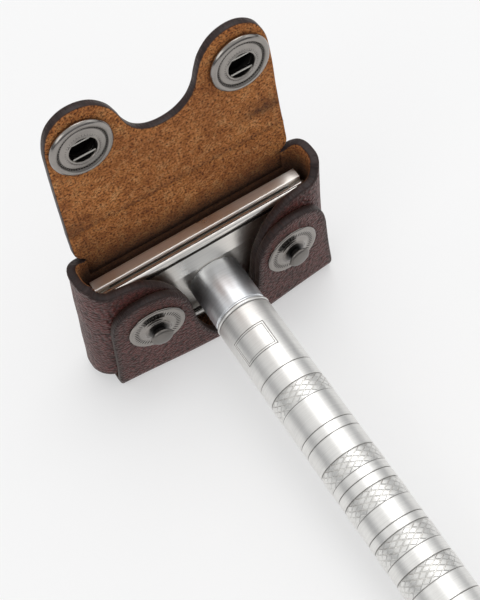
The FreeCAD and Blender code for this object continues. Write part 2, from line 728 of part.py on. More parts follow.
os.makedirs("parts", exist_ok=True)
for piece, place in SUB_PARTS:
    piece.Shape.exportStep(f"parts/{piece.Label}.step")
print(f"{len(SUB_PARTS)} sub-parts, tilt {math.degrees(tilt):.4f}, origin at y {back:.4f}, "
      f"z {height:.4f}")
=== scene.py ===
# %% [markdown]
# # A safety razor in a leather snap sheath
#
# A double-edge safety razor lies on its side with its head in an open leather sheath. The packed
# part is the fixed frame: it says where each piece is and which pieces move together. This lesson
# dresses that frame. Everything is drawn in the razor's own axes in millimetres, because that is
# how the real pieces are turned, cut and folded, and one matrix lays the result on the table.

# %% The frame, and the razor's own axes
import json
import math

import bmesh
import bpy
from mathutils import Matrix, Vector, kdtree, noise
from mathutils.geometry import delaunay_2d_cdt
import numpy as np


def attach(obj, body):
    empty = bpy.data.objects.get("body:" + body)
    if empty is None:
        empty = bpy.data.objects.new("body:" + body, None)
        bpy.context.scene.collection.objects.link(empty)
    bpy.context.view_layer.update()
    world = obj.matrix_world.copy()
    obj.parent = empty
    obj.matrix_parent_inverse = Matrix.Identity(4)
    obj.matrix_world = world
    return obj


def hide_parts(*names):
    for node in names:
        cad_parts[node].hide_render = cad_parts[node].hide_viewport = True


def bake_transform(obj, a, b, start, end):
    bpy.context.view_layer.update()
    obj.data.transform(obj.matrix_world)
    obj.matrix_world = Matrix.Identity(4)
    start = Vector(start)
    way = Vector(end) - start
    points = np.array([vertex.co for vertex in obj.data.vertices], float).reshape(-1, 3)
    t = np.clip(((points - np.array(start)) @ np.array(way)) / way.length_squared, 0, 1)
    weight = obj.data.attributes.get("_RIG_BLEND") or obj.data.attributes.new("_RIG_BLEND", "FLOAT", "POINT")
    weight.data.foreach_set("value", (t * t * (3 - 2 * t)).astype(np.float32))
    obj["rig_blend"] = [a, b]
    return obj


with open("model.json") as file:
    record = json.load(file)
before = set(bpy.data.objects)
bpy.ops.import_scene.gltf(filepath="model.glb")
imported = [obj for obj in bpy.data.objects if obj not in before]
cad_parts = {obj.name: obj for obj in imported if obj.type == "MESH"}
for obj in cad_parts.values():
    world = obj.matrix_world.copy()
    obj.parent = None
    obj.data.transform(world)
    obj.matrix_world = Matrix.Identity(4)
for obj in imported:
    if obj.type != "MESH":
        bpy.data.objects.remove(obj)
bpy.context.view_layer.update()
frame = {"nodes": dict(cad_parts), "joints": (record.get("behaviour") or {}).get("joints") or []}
MM = 0.001
JOINTS = {joint["name"]: joint for joint in frame["joints"]}
AWAY = Vector(JOINTS["thread_travel"]["axis"]).normalized()
LIFT = Vector(JOINTS["razor_lift"]["axis"]).normalized()
turn_point = Vector(JOINTS["handle_turn"]["pos_m"])
neck_start = min(v.co @ AWAY for v in frame["nodes"]["neck_collar"].data.vertices)
head_point = turn_point + AWAY * (neck_start - turn_point @ AWAY)
AXES = Matrix((Vector((1, 0, 0)), -AWAY, LIFT)).transposed()
RAZOR = Matrix.Translation(head_point) @ AXES.to_4x4() @ Matrix.Scale(MM, 4)
TILT = math.asin(-AWAY.z)
print("the neck leaves the head at", [round(c, 5) for c in head_point], "tilt", round(math.degrees(TILT), 3))

# %% [markdown]
# A piece is a list of corners and faces in razor millimetres. One function turns it into an object
# at the origin, joins points that coincide, turns its faces outwards and hangs it on its body.

# %% Making a finished piece
def new_object(name, data):
    """An object in the scene, at the origin."""
    made = bpy.data.objects.new(name, data)
    bpy.context.scene.collection.objects.link(made)
    return made


def finished_mesh(thing):
    """The mesh that an object's modifiers make."""
    return bpy.data.meshes.new_from_object(thing.evaluated_get(bpy.context.evaluated_depsgraph_get()))


def finish_piece(name, mesh_data, material, body, stands_for=(), bend=None, sharp=None):
    """Turns a bmesh in razor millimetres into a piece that rides on a body or bends between two."""
    bmesh.ops.remove_doubles(mesh_data, verts=mesh_data.verts, dist=0.002)
    bmesh.ops.recalc_face_normals(mesh_data, faces=mesh_data.faces)
    bmesh.ops.transform(mesh_data, matrix=RAZOR, verts=mesh_data.verts)
    for face in mesh_data.faces:
        face.smooth = True
    mesh = bpy.data.meshes.new(name)
    mesh_data.to_mesh(mesh)
    mesh_data.free()
    mesh.materials.append(material)
    if sharp is not None:
        mesh.set_sharp_from_angle(angle=math.radians(sharp))
    piece = new_object(name, mesh)
    if bend:
        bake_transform(piece, *bend)
    else:
        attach(piece, body)
    if stands_for:
        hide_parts(*stands_for)
    print(name, "has", len(mesh.vertices), "points")
    return piece


# %% [markdown]
# Colours are written as sRGB hex values. Blender's shaders work in linear light, so one function
# converts them. Another adds a node with its settings and its links, for shaders and Geometry
# Nodes alike.

# %% Colour and node helpers
def paint(code):
    """Linear RGBA of an sRGB hex colour."""
    parts = [int(code[i:i + 2], 16) / 255 for i in (1, 3, 5)]
    return [c / 12.92 if c <= 0.04045 else ((c + 0.055) / 1.055) ** 2.4 for c in parts] + [1.0]


def add_node(tree, kind, sockets=None, **settings):
    """Adds a node, sets its properties, and fills sockets with values or links."""
    node = tree.nodes.new(kind)
    for key, value in settings.items():
        setattr(node, key, value)
    for key, value in (sockets or {}).items():
        if isinstance(value, bpy.types.NodeSocket):
            tree.links.new(value, node.inputs[key])
        else:
            node.inputs[key].default_value = value
    return node


def start_material(name, **surface):
    """A material with its Principled surface, whose sockets are set by name."""
    material = bpy.data.materials.new(name)
    material.use_nodes = True
    shader = material.node_tree.nodes["Principled BSDF"]
    for key, value in surface.items():
        shader.inputs[key.replace("_", " ")].default_value = value
    return material, material.node_tree, shader


def ramp(tree, factor, *stops):
    """A colour ramp from (place, colour) stops."""
    node = add_node(tree, "ShaderNodeValToRGB", {"Fac": factor})
    while len(node.color_ramp.elements) < len(stops):
        node.color_ramp.elements.new(0.5)
    for element, (place, colour) in zip(node.color_ramp.elements, stops):
        element.position = place
        element.color = colour if isinstance(colour, list) else [colour] * 3 + [1.0]
    return node.outputs["Color"]


def mixed(tree, factor, first, second, how="MIX"):
    """Mixes two colours. Each is a socket, an RGBA list, or one number for a grey."""
    first, second = ([c] * 3 + [1.0] if isinstance(c, float) else c for c in (first, second))
    node = add_node(tree, "ShaderNodeMix", data_type="RGBA", blend_type=how)
    for key, value in ((0, factor), (6, first), (7, second)):
        if isinstance(value, bpy.types.NodeSocket):
            tree.links.new(value, node.inputs[key])
        else:
            node.inputs[key].default_value = value
    return node.outputs[2]


def bumped(tree, shader, *layers):
    """Stacks bump layers of (height socket, depth in metres) on a shader."""
    normal = None
    for height, depth in layers:
        sockets = {"Height": height, "Distance": depth, "Strength": 1.0}
        if normal:
            sockets["Normal"] = normal
        normal = add_node(tree, "ShaderNodeBump", sockets).outputs["Normal"]
    tree.links.new(normal, shader.inputs["Normal"])


# %% [markdown]
# ## Leather
#
# The sheath is vegetable-tanned cowhide, 1.8 mm thick. Its grain side is dyed burgundy brown and
# has pebbles a little over half a millimetre across. Its flesh side is left as rough suede. The cut
# edges are rubbed dark with wax. One material holds all three, because one hide does: the mesh
# says how far each point is from a cut edge and whether it lies on the flesh side.

# %% Leather material
def attribute(tree, name):
    """A number that the mesh carries at each point."""
    return add_node(tree, "ShaderNodeAttribute", attribute_name=name).outputs["Fac"]


def speckle(tree, place, scale, detail, roughness=0.5, **more):
    """A noise pattern's value."""
    sockets = {"Vector": place, "Scale": scale, "Detail": detail, "Roughness": roughness, **more}
    return add_node(tree, "ShaderNodeTexNoise", sockets).outputs["Fac"]


def pebbled(tree, place, scale, smoothness, randomness=1.0):
    """Distance from the nearest pebble's middle."""
    sockets = {"Vector": place, "Scale": scale, "Smoothness": smoothness, "Randomness": randomness}
    return add_node(tree, "ShaderNodeTexVoronoi", sockets, feature="SMOOTH_F1").outputs["Distance"]


PEBBLES = 165.0             # pebbles in a decimetre of hide


def leather_material():
    """Grain, suede and waxed edge in one material, told apart by the mesh's own numbers."""
    material, tree, shader = start_material("tanned_cowhide", Roughness=0.5, IOR=1.5)
    shader.inputs["Specular IOR Level"].default_value = 0.35
    shader.inputs["Sheen Weight"].default_value = 0.08
    shader.inputs["Sheen Roughness"].default_value = 0.5
    shader.inputs["Sheen Tint"].default_value = paint("#d9b79a")
    hide = add_node(tree, "ShaderNodeUVMap", uv_map="hide").outputs["UV"]
    flesh, rim, smudge_and_shade = (attribute(tree, name) for name in ("flesh", "rim", "smudge_and_shade"))
    # The hide's UV map is in decimetres, so a scale of 100 counts millimetres.
    warp = add_node(tree, "ShaderNodeTexNoise", {"Vector": hide, "Scale": 45.0, "Detail": 2.0})
    sway = {0: warp.outputs["Color"], 1: (0.008, 0.008, 0.008)}
    bent = add_node(tree, "ShaderNodeVectorMath", sway, operation="MULTIPLY").outputs[0]
    bent = add_node(tree, "ShaderNodeVectorMath", {0: hide, 1: bent}, operation="ADD").outputs[0]
    pebble = pebbled(tree, bent, PEBBLES, 0.55, 0.95)
    fine = pebbled(tree, bent, 300.0, 0.5)
    patch = speckle(tree, hide, 9.0, 4.0, 0.6)
    nap = speckle(tree, hide, 230.0, 3.0, 0.7)
    tuft = speckle(tree, hide, 48.0, 4.0, 0.7, Distortion=0.6)

    grain = ramp(tree, pebble, (0.1, paint("#6e3532")), (0.6, paint("#46201f")), (0.95, paint("#190b0c")))
    faded = ramp(tree, patch, (0.35, paint("#ffffff")), (0.7, paint("#b59f9c")))
    grain = mixed(tree, 0.8, grain, faded, "MULTIPLY")
    suede = ramp(tree, tuft, (0.32, paint("#b26d36")), (0.5, paint("#dc904f")), (0.7, paint("#eeb171")))
    fuzz = ramp(tree, nap, (0.36, paint("#57483f")), (0.48, paint("#d8cfc6")), (0.6, paint("#ffffff")))
    suede = mixed(tree, 1.0, suede, fuzz, "MULTIPLY")
    shade = ramp(tree, patch, (0.3, paint("#c9b8ae")), (0.6, paint("#ffffff")))
    suede = mixed(tree, 0.7, suede, shade, "MULTIPLY")
    # Painted shade inside the sheath and beside the head, with the flap's real handling smudges, darkens the
    # flesh side.
    suede = mixed(tree, smudge_and_shade, suede, paint("#2c1810"))
    inside = ramp(tree, flesh, (0.45, 0.0), (0.62, 1.0))
    colour = mixed(tree, inside, grain, suede)
    waxed = ramp(tree, nap, (0.3, paint("#150c0c")), (0.7, paint("#33211f")))
    waxed_in = ramp(tree, rim, (0.02, 0.75), (0.13, 0.0))       # some wax runs onto the grain side
    rubbed = mixed(tree, inside, waxed_in, 0.0)
    colour = mixed(tree, rubbed, colour, waxed)
    edge = ramp(tree, rim, (0.006, 1.0), (0.016, 0.0))
    colour = mixed(tree, edge, colour, waxed)
    tree.links.new(colour, shader.inputs["Base Color"])
    rough = mixed(tree, inside, ramp(tree, pebble, (0.2, 0.36), (0.9, 0.6)), 0.95)
    rough = mixed(tree, edge, rough, 0.5)
    tree.links.new(rough, shader.inputs["Roughness"])
    domes = ramp(tree, pebble, (0.0, 1.0), (0.9, 0.0))
    height = mixed(tree, inside, domes, ramp(tree, nap, (0.25, 0.0), (0.75, 1.0)))
    height = mixed(tree, edge, height, 0.8)
    creases = ramp(tree, fine, (0.0, 1.0), (0.8, 0.0))
    coarse = mixed(tree, inside, creases, ramp(tree, tuft, (0.25, 0.0), (0.75, 1.0)))
    bumped(tree, shader, (coarse, 0.0001), (height, 0.00036))
    return material


cowhide = leather_material()
print("leather pebbles are", round(100 / PEBBLES, 2), "mm apart")

# %% [markdown]
# ## Cutting and folding a panel
#
# A leather worker cuts a flat blank and folds it. The mesh is made in the same order: an outline
# on the flat, loops just inside it for the rounded edge, a grid of points within, and triangles
# between them. Then each point is carried to its place on the folded sheath, once for the grain
# side and once for the flesh side, and the two skins are joined along the cut edge.

# %% Outlines on the flat
LEATHER = 1.8
# Rounding of a cut edge: distance in from it, and share of the half thickness left there.
EDGE_LOOPS = ((0.0, 0.62), (0.1, 0.86), (0.25, 0.97), (0.5, 1.0))


def smooth_run(points, step=0.55):
    """Evenly spaced points on a smooth curve through the given ones."""
    points = [Vector(p) for p in points]
    ends = [points[0] * 2 - points[1]] + points + [points[-1] * 2 - points[-2]]
    dense = []
    for a, b, c, d in zip(ends, ends[1:], ends[2:], ends[3:]):
        for k in range(24):
            t = k / 24
            curve = (2 * a - 5 * b + 4 * c - d) * t * t + (3 * b - a - 3 * c + d) * t ** 3
            dense.append(0.5 * (2 * b + (c - a) * t + curve))
    dense.append(points[-1])
    return spaced(dense, step)


def spaced(dense, step):
    """Points at even distances along a polyline, its ends kept."""
    lengths = [0.0]
    for a, b in zip(dense, dense[1:]):
        lengths.append(lengths[-1] + (b - a).length)
    count = max(1, round(lengths[-1] / step))
    result, i = [], 0
    for k in range(count + 1):
        target = lengths[-1] * k / count
        while i < len(lengths) - 2 and lengths[i + 1] < target:
            i += 1
        span = max(lengths[i + 1] - lengths[i], 1e-9)
        result.append(dense[i].lerp(dense[i + 1], min(1.0, (target - lengths[i]) / span)))
    return result


def join_run(start, end, free_ends=(True, True), step=0.9):
    """A straight join to another panel, with the edge's own steps near each free end."""
    start, end = Vector(start), Vector(end)
    length = (end - start).length
    near = [distance for distance, _ in EDGE_LOOPS]
    places = set([0.0, length])
    if free_ends[0]:
        places |= set(near)
    if free_ends[1]:
        places |= {length - d for d in near}
    low, high = (near[-1] if free_ends[0] else 0), length - (near[-1] if free_ends[1] else 0)
    count = round((high - low) / step)
    places |= {low + (high - low) * k / count for k in range(count + 1)}
    return [start.lerp(end, p / length) for p in sorted(places)]


def edge_share(distance):
    """How much of the leather's half thickness is left near a cut edge."""
    for (d0, h0), (d1, h1) in zip(EDGE_LOOPS, EDGE_LOOPS[1:]):
        if distance <= d1:
            return h0 + (h1 - h0) * (distance - d0) / (d1 - d0)
    return 1.0


# %% [markdown]
# The middle of the hide is never quite flat, so a slow wave of a tenth of a millimetre is added.
# It depends only on the place on the hide, so two panels that meet share it at their join.

# %% Building a folded panel
def inside_loop(x, y, loop):
    """Whether a point lies inside a closed outline."""
    inside = False
    for a, b in zip(loop, loop[1:] + loop[:1]):
        if (a.y > y) != (b.y > y) and x < (b.x - a.x) * (y - a.y) / (b.y - a.y) + a.x:
            inside = not inside
    return inside


SPACING = 0.85              # between the points of the grid
WAVE = 0.12


def fold_panel(name, runs, middle, body, stands_for=(), bend=None, smudge_and_shade=None, pits=()):
    """runs: (points, free) parts of a closed outline. middle(u, v): place and outward direction.
    pits: (u, v, radius) of the holes punched from the flesh side for a snap."""
    loop, free = [], []
    for points, is_free in runs:
        loop += points[:-1]
        free += [is_free] * (len(points) - 1)
    area = sum(a.x * b.y - b.x * a.y for a, b in zip(loop, loop[1:] + loop[:1]))
    if area < 0:
        loop.reverse()
        free = free[-2::-1] + free[-1:]
    count = len(loop)
    rim_tree, rim_points = kdtree.KDTree(count * 8), 0
    outline_tree = kdtree.KDTree(count * 4)
    for i in range(count):
        a, b = loop[i], loop[(i + 1) % count]
        for k in range(8):
            if free[i]:
                rim_tree.insert((*a.lerp(b, k / 8), 0), rim_points)
                rim_points += 1
        for k in range(4):
            outline_tree.insert((*a.lerp(b, k / 4), 0), i)
    rim_tree.balance()
    outline_tree.balance()

    flat = [Vector(p) for p in loop]
    for depth, _ in EDGE_LOOPS[1:]:
        for i in range(count):
            if not (free[i] and free[i - 1]):
                continue
            along = (loop[(i + 1) % count] - loop[i - 1]).normalized()
            point = loop[i] + Vector((-along.y, along.x)) * depth
            if rim_tree.find((*point, 0))[2] > depth * 0.8:
                flat.append(point)
    low = Vector((min(p.x for p in loop), min(p.y for p in loop)))
    high = Vector((max(p.x for p in loop), max(p.y for p in loop)))
    row, y = 0, low.y
    while y < high.y:
        x = low.x + (row % 2) * SPACING / 2
        while x < high.x:
            if outline_tree.find((x, y, 0))[2] > 0.6 + SPACING * 0.45 and inside_loop(x, y, loop):
                flat.append(Vector((x, y)))
            x += SPACING
        y += SPACING * 0.866
        row += 1
    borders = [(i, (i + 1) % count) for i in range(count)]
    points, _, faces = delaunay_2d_cdt(flat, borders, [], 1, 1e-4)[:3]

    mesh = bmesh.new()
    hide = mesh.loops.layers.uv.new("hide")
    layers = {key: mesh.verts.layers.float.new(key) for key in ("flesh", "rim", "smudge_and_shade")}
    skins = ([], [])
    for p in points:
        place, out = middle(p.x, p.y)
        gap = rim_tree.find((*p, 0))[2]
        half = LEATHER / 2 * edge_share(gap)
        lift = WAVE * noise.noise(Vector((p.x / 8, p.y / 8, 3.7)))
        for side, skin in enumerate(skins):
            level = half if side == 0 else -half
            if side and any(math.hypot(p.x - u, p.y - v) < r for u, v, r in pits):
                level = half - 0.25
            vert = mesh.verts.new(place + out * (lift + level))
            vert[layers["flesh"]] = side
            vert[layers["rim"]] = min(gap, 10.0) / 10.0
            vert[layers["smudge_and_shade"]] = smudge_and_shade(p.x, p.y) if smudge_and_shade else 0.0
            skin.append(vert)
    used = {}
    for face in faces:
        for skin, corners in ((skins[0], face), (skins[1], face[::-1])):
            made = mesh.faces.new([skin[i] for i in corners])
            for corner, i in zip(made.loops, corners):
                corner[hide].uv = points[i] * 0.01
        for a, b in zip(face, face[1:] + face[:1]):
            used[(a, b)] = used.get((a, b), 0) + 1
    for a, b in used:
        if (b, a) not in used:
            made = mesh.faces.new([skins[0][b], skins[0][a], skins[1][a], skins[1][b]])
            for corner, i in zip(made.loops, (b, a, a, b)):
                corner[hide].uv = points[i] * 0.01
    return finish_piece(name, mesh, cowhide, body, stands_for, bend)


def both_sides(right):
    """A run from the left side to the right side, given its right half from the middle out."""
    return [(-x, y) for x, y in reversed(right)] + [(x, y) for x, y in right if x > 0]


# %% [markdown]
# ## The flap
#
# The back wall carries on upwards as the flap, which ends in two round lobes with a deep cut
# between them for the razor's neck. It folds at two creases. Below the first it belongs to the
# sheath's wall, so the lower piece bends from the sheath to the flap's back, and the upper one
# from the back to the tip. The two meet halfway between the creases, where nothing bends.

# %% The flap's two pieces
BACK_MIDDLE = 7.9           # the back wall's mid-layer behind the head
FOLD_HEIGHT = 15.6
BRIDGE = 14.0               # back crease to front crease
SEAM_LOW = 10.5             # where the back wall's own piece starts, hidden behind the head
SEAM_HIGH = FOLD_HEIGHT + 7.0
WALL_FLAT = 20.3            # half the width of the back wall between its bends
LEAN = math.radians(3.5)
SNAP_ACROSS, SNAP_HEIGHT = 14.6, 2.3


def flap_middle(u, v):
    """The flap leans back from the fold, and its middle bows a little."""
    s = v - FOLD_HEIGHT
    eased = (s + math.sqrt(s * s + 4.0)) / 2
    turn = LEAN * min(1.0, max(0.0, (s + 2) / 4))
    bow = -0.35 * math.sin(math.pi * min(max(s, 0.0), 27.0) / 27.0) ** 2
    y = BACK_MIDDLE + math.tan(LEAN) * eased - bow
    z = FOLD_HEIGHT + s * (math.cos(LEAN) if s > 0 else 1.0)
    return Vector((u, y, z)), Vector((0, math.cos(turn), -math.sin(turn)))


# Dark handling marks: across, height above the fold, half width, half height, strength.
SMUDGES = (
    (19.5, 13.0, 5.0, 1.3, 1.0), (17.5, 15.2, 3.2, 0.9, 0.35),
    (-21.0, 8.5, 3.4, 1.8, 0.6), (-19.5, 2.5, 3.0, 2.4, 0.45),
)


def painted_shade_beside_head(height):
    """Painted shade on the hide beside the razor's head, up to just above the fold."""
    return 0.88 * max(0.0, min(1.0, (1.6 - height) / 6.0))


def flap_smudges_and_shade(u, v):
    """Handling marks and the painted shade beside the head together."""
    s = v - FOLD_HEIGHT
    mark = 0.0
    for x, y, rx, ry, weight in SMUDGES:
        mark = max(mark, weight * math.exp(-((u - x) / rx) ** 2 - ((s - y) / ry) ** 2))
    mark *= 0.75 + 0.5 * noise.noise(Vector((u, v, 0.5)))
    return min(1.0, mark + painted_shade_beside_head(s))


def flip(run):
    """A run from the right side carried over to the left, so that it still goes round the outline."""
    return [Vector((-p.x, p.y)) for p in reversed(run)]


# The back wall's own piece and the flap's lower piece share these three straight joins.
NOTCH = 14.9                # bottom of the notch between the flap and the side wall
FLAP_SIDE = 21.8            # half the flap's width at the upper join
join_across = (join_run((-WALL_FLAT, SEAM_LOW), (WALL_FLAT, SEAM_LOW), (False, False)), False)
join_right = (join_run((WALL_FLAT, SEAM_LOW), (WALL_FLAT, NOTCH), (False, False)), False)
join_left = (join_run((-WALL_FLAT, NOTCH), (-WALL_FLAT, SEAM_LOW), (False, False)), False)
join_flap = (join_run((FLAP_SIDE, SEAM_HIGH), (-FLAP_SIDE, SEAM_HIGH)), False)
lower_side = smooth_run([
    (WALL_FLAT, NOTCH), (20.6, 15.6), (21.5, 16.4), (21.95, 17.6), (21.9, 19.5), (FLAP_SIDE, SEAM_HIGH)])
lower_runs = [join_across, join_right, (lower_side, True), join_flap, (flip(lower_side), True), join_left]
# Right half of the flap's edge above the fold: the cut-out, the round lobe, and the side.
upper_edge = [
    (0, 22.3), (2.7, 22.8), (4.9, 24.3), (6.4, 26.7), (7.2, 29.1),
    (8.4, 31.7), (10.6, 33.9), (13.4, 34.9), (16.3, 34.6), (18.9, 32.7),
    (20.4, 29.2), (20.9, 24.0), (21.3, 16.0), (21.6, 10.0), (FLAP_SIDE, SEAM_HIGH - FOLD_HEIGHT),
]
upper_run = smooth_run(both_sides([(x, s + FOLD_HEIGHT) for x, s in upper_edge]))
upper_runs = [(upper_run, True), join_flap]


def at(x, y, z):
    """A point of the razor's axes in the frame's metres."""
    return tuple(RAZOR @ Vector((x, y, z)))


back_bend = ("sheath", "flap_back", at(0, 7, 14.3), at(0, 7.1, 17.6))
fold_panel("flap_lower", lower_runs, flap_middle, "flap_back", ("flap_bridge",), back_bend, smudge_and_shade=flap_smudges_and_shade)
crease = Vector((0, 7.0 + BRIDGE * math.sin(LEAN), FOLD_HEIGHT + BRIDGE * math.cos(LEAN)))
along = Vector((0, math.sin(LEAN), math.cos(LEAN)))
front_bend = ("flap_back", "flap_tip", at(*(crease - along * 2.2)), at(*(crease + along * 2.2)))
SOCKET_PLACE = BRIDGE + FOLD_HEIGHT - SNAP_HEIGHT       # the sockets' height above the back crease
pits = [(side * SNAP_ACROSS, SOCKET_PLACE + FOLD_HEIGHT, 3.5) for side in (-1, 1)]
fold_panel(
    "flap_upper", upper_runs, flap_middle, "flap_tip", ("flap_front",), front_bend, smudge_and_shade=flap_smudges_and_shade, pits=pits)

# %% [markdown]
# ## The wall
#
# A strip of the same hide runs along the back, round the head's ends and forward into two wings
# that part for the handle. Its path is drawn from above, with rounded corners, and a distance
# along the path is the strip's own length.

# %% The wall's path
SLOPE = math.radians(5.0)
SIDE_MIDDLE = 24.0


def front_middle(x, layers):
    """Distance of a front layer's face from the head's underside, softly creased in the middle."""
    spread = math.sqrt(x * x + 9.0)
    return -1.0 - layers * LEATHER / math.cos(SLOPE) + (spread - SNAP_ACROSS) * math.tan(SLOPE)


def rounded_path(corners, step=0.2):
    """A dense polyline through (point, bend radius) corners."""
    path = [corners[0][0]]
    for (before, _), (here, radius), (after, _) in zip(corners, corners[1:], corners[2:]):
        back, on = (before - here).normalized(), (after - here).normalized()
        half = back.angle(on) / 2
        start, end = here + back * radius / math.tan(half), here + on * radius / math.tan(half)
        for k in range(17):
            t = k / 16
            first = start * (1 - t) ** 3 + start.lerp(here, 0.56) * 3 * t * (1 - t) ** 2
            path.append(first + end.lerp(here, 0.56) * 3 * t * t * (1 - t) + end * t ** 3)
    path.append(corners[-1][0])
    return spaced(path, step)


wall_path = rounded_path([
    (Vector((0, BACK_MIDDLE)), 0), (Vector((SIDE_MIDDLE, BACK_MIDDLE)), SIDE_MIDDLE - WALL_FLAT),
    (Vector((SIDE_MIDDLE, front_middle(SIDE_MIDDLE, 0.5))), 4.2), (Vector((6.3, front_middle(6.3, 0.5))), 0),
])
wall_length = sum((b - a).length for a, b in zip(wall_path, wall_path[1:]))
wall_step = wall_length / (len(wall_path) - 1)


def wall_middle(u, v):
    """A place on the strip: its distance along the path from the back's middle, and its height."""
    side = -1 if u < 0 else 1
    place = min(abs(u) / wall_step, len(wall_path) - 1.001)
    i = int(place)
    point = wall_path[i].lerp(wall_path[i + 1], place - i)
    ahead = (wall_path[min(i + 2, len(wall_path) - 1)] - wall_path[max(i - 1, 0)]).normalized()
    out = Vector((-ahead.y, ahead.x))
    # The hand-folded corners bulge towards the bottom, and the left one bulges more.
    low = max(0.0, min(1.0, (15.0 - v) / 28.0))
    bulge = (2.3 if side < 0 else 0.5) * low * max(0.0, min(1.0, (point.x - 15.0) / 7.0))
    return Vector((side * (point.x + bulge), point.y, v)), Vector((side * out.x, out.y, 0))


def wall_distance(x):
    """How far along the strip the wing passes a distance from the middle."""
    return min(i for i, p in enumerate(wall_path) if p.y < 3.0 and p.x <= x) * wall_step


print("the wall strip is", round(2 * wall_length, 1), "mm long")

# %% The wall
FLOOR = -13.2
WING_FOOT = -11.9
# The notch and the side wall's ear, by distance along the strip, then the wing's sweeping top edge,
# by distance from the middle.
ear = [(0.0, NOTCH), (1.0, 15.15), (2.3, 16.1), (3.9, 17.0), (7.0, 17.3), (10.0, 17.2)]
wing_top = [
    (22.9, 16.3), (21.6, 15.1), (18.5, 14.9), (15.6, 14.4), (13.3, 13.2),
    (11.0, 10.9), (9.0, 7.6), (7.6, 3.6), (6.9, -0.5), (6.45, -5.5),
]
top_right = [(WALL_FLAT + step, z) for step, z in ear] + [(wall_distance(x), z) for x, z in wing_top]
top_run = smooth_run(top_right + [(wall_length, WING_FOOT)])
low_run = smooth_run([
    (wall_length, WING_FOOT), (wall_distance(20.5), WING_FOOT),
    (WALL_FLAT + 9.0, -12.4), (WALL_FLAT + 4.0, FLOOR), (0, FLOOR)])
wall_edges = [(run, True) for run in (top_run, low_run, flip(low_run), flip(top_run))]
wall_runs = [join_across, join_right] + wall_edges + [join_left]


def wall_painted_shade(u, v):
    """Painted shade on the wall beside the head, up to just above the fold."""
    return painted_shade_beside_head(v - FOLD_HEIGHT)


fold_panel("sheath_wall", wall_runs, wall_middle, "sheath", ("wrap_panel",), smudge_and_shade=wall_painted_shade)

# %% [markdown]
# ## The floor and the front lobes
#
# A second strip is the sheath's floor. It bends up at the front into two round lobes that carry
# the studs, with a notch between them below the neck.

# %% The floor strip
BEND_MIDDLE = 2.1
BEND_TOP = -12.0
BEND_END = BEND_TOP - BEND_MIDDLE * math.pi / 2
BACK_EDGE = 8.8


def strip_middle(u, v):
    """The lobes stand up in front, the bend carries them down, and the floor runs to the back."""
    front = front_middle(u, 1.5)
    centre = front + BEND_MIDDLE
    if v >= BEND_TOP:
        curl = 0.35 * max(0.0, (v - 5.0) / 6.0) ** 2
        tip = Vector((u / math.sqrt(u * u + 9) * math.tan(SLOPE), -1, 0)).normalized()
        return Vector((u, front - curl * 0.4, v)), tip
    if v >= BEND_END:
        turn = (BEND_TOP - v) / BEND_MIDDLE
        out = Vector((0, -math.cos(turn), -math.sin(turn)))
        return Vector((u, centre, BEND_TOP)) + out * BEND_MIDDLE, out
    return Vector((u, centre + BEND_END - v, BEND_TOP - BEND_MIDDLE)), Vector((0, 0, -1))


def strip_back(x, y):
    """The strip's own coordinate of a place on the floor."""
    return (x, BEND_END - (y - front_middle(x, 1.5) - BEND_MIDDLE))


# Right half of the lobes' edge: the notch below the neck, the round lobe, and the side.
lobe_right = [
    (0, -11.5), (1.8, -11.45), (3.6, -10.4), (5.2, -7.6), (6.5, -3.4),
    (7.0, 0.6), (7.35, 4.2), (8.4, 7.4), (10.5, 10.1), (13.3, 11.4), (16.4, 11.5), (19.4, 10.5),
    (21.6, 8.3), (22.7, 5.0), (23.1, 0.5), (23.6, -6.0), (24.1, -11.5), (24.2, -16.0), strip_back(24.2, 3.4),
]
floor_right = [(24.2, 3.4), (23.4, 6.6), (20.6, BACK_EDGE), (12, BACK_EDGE), (0, BACK_EDGE)]
floor_edge = smooth_run(lobe_right) + smooth_run([strip_back(x, y) for x, y in floor_right])[1:]
strip_runs = [(floor_edge, True), (flip(floor_edge), True)]
# The floor strip's whole flesh side is painted dark, as painted shade inside the sheath.
lobes = fold_panel(
    "floor_and_lobes", strip_runs, strip_middle, "sheath", ("lobe_panel",), smudge_and_shade=lambda u, v: 0.8)
for vert in lobes.data.vertices:
    vert.co.z = max(vert.co.z, 0.00002)      # its own weight presses the bend flat on the table

# %% [markdown]
# ## Metals
#
# Six finishes of steel and nickel are on the razor and sheath. Each is a full metal, so its
# colour comes from what it mirrors, and its roughness and its fine marks tell them apart: turned
# satin on the grip, a smoother neck, long brushing on the head, a ground blade, dark
# plating on the snaps, and bright wire for their springs.

# %% Metal materials
SATIN_LINES = 4500.0        # turning marks in a metre, about four times as coarse as real ones
COLLAR_LINES = 2700.0       # the collar's marks are wider apart and nearly polished away


def metal(name, colour, roughness, lines, depth, marks=None, worn=0.08):
    """A metal whose fine lines run across the direction with the largest entry in lines."""
    material, tree, shader = start_material(name, Metallic=1.0, Roughness=roughness)
    spot = add_node(tree, "ShaderNodeTexCoord").outputs["Object"]
    laid = add_node(tree, "ShaderNodeMapping", {"Vector": spot, "Rotation": (-TILT, 0, 0)}).outputs["Vector"]
    stretched = add_node(tree, "ShaderNodeMapping", {"Vector": laid, "Scale": lines}).outputs["Vector"]
    scratch = speckle(tree, stretched, 1.0, 3.0, 0.6)
    smear = speckle(tree, laid, 160.0, 3.0)
    rough = ramp(tree, smear, (0.3, max(roughness - worn, 0.03)), (0.7, roughness + worn))
    tone = mixed(tree, 1.0, ramp(tree, scratch, (0.25, 0.86), (0.75, 1.0)), paint(colour), "MULTIPLY")
    # Where the mesh's mark is set the colour turns to marks: painted shade in grooves, channels and holes,
    # and the etched square's own dark colour.
    if marks:
        cut = attribute(tree, "mark")
        tone = mixed(tree, cut, tone, paint(marks))
        rough = mixed(tree, cut, rough, 0.5)
    tree.links.new(tone, shader.inputs["Base Color"])
    tree.links.new(rough, shader.inputs["Roughness"])
    bumped(tree, shader, (scratch, depth))
    return material


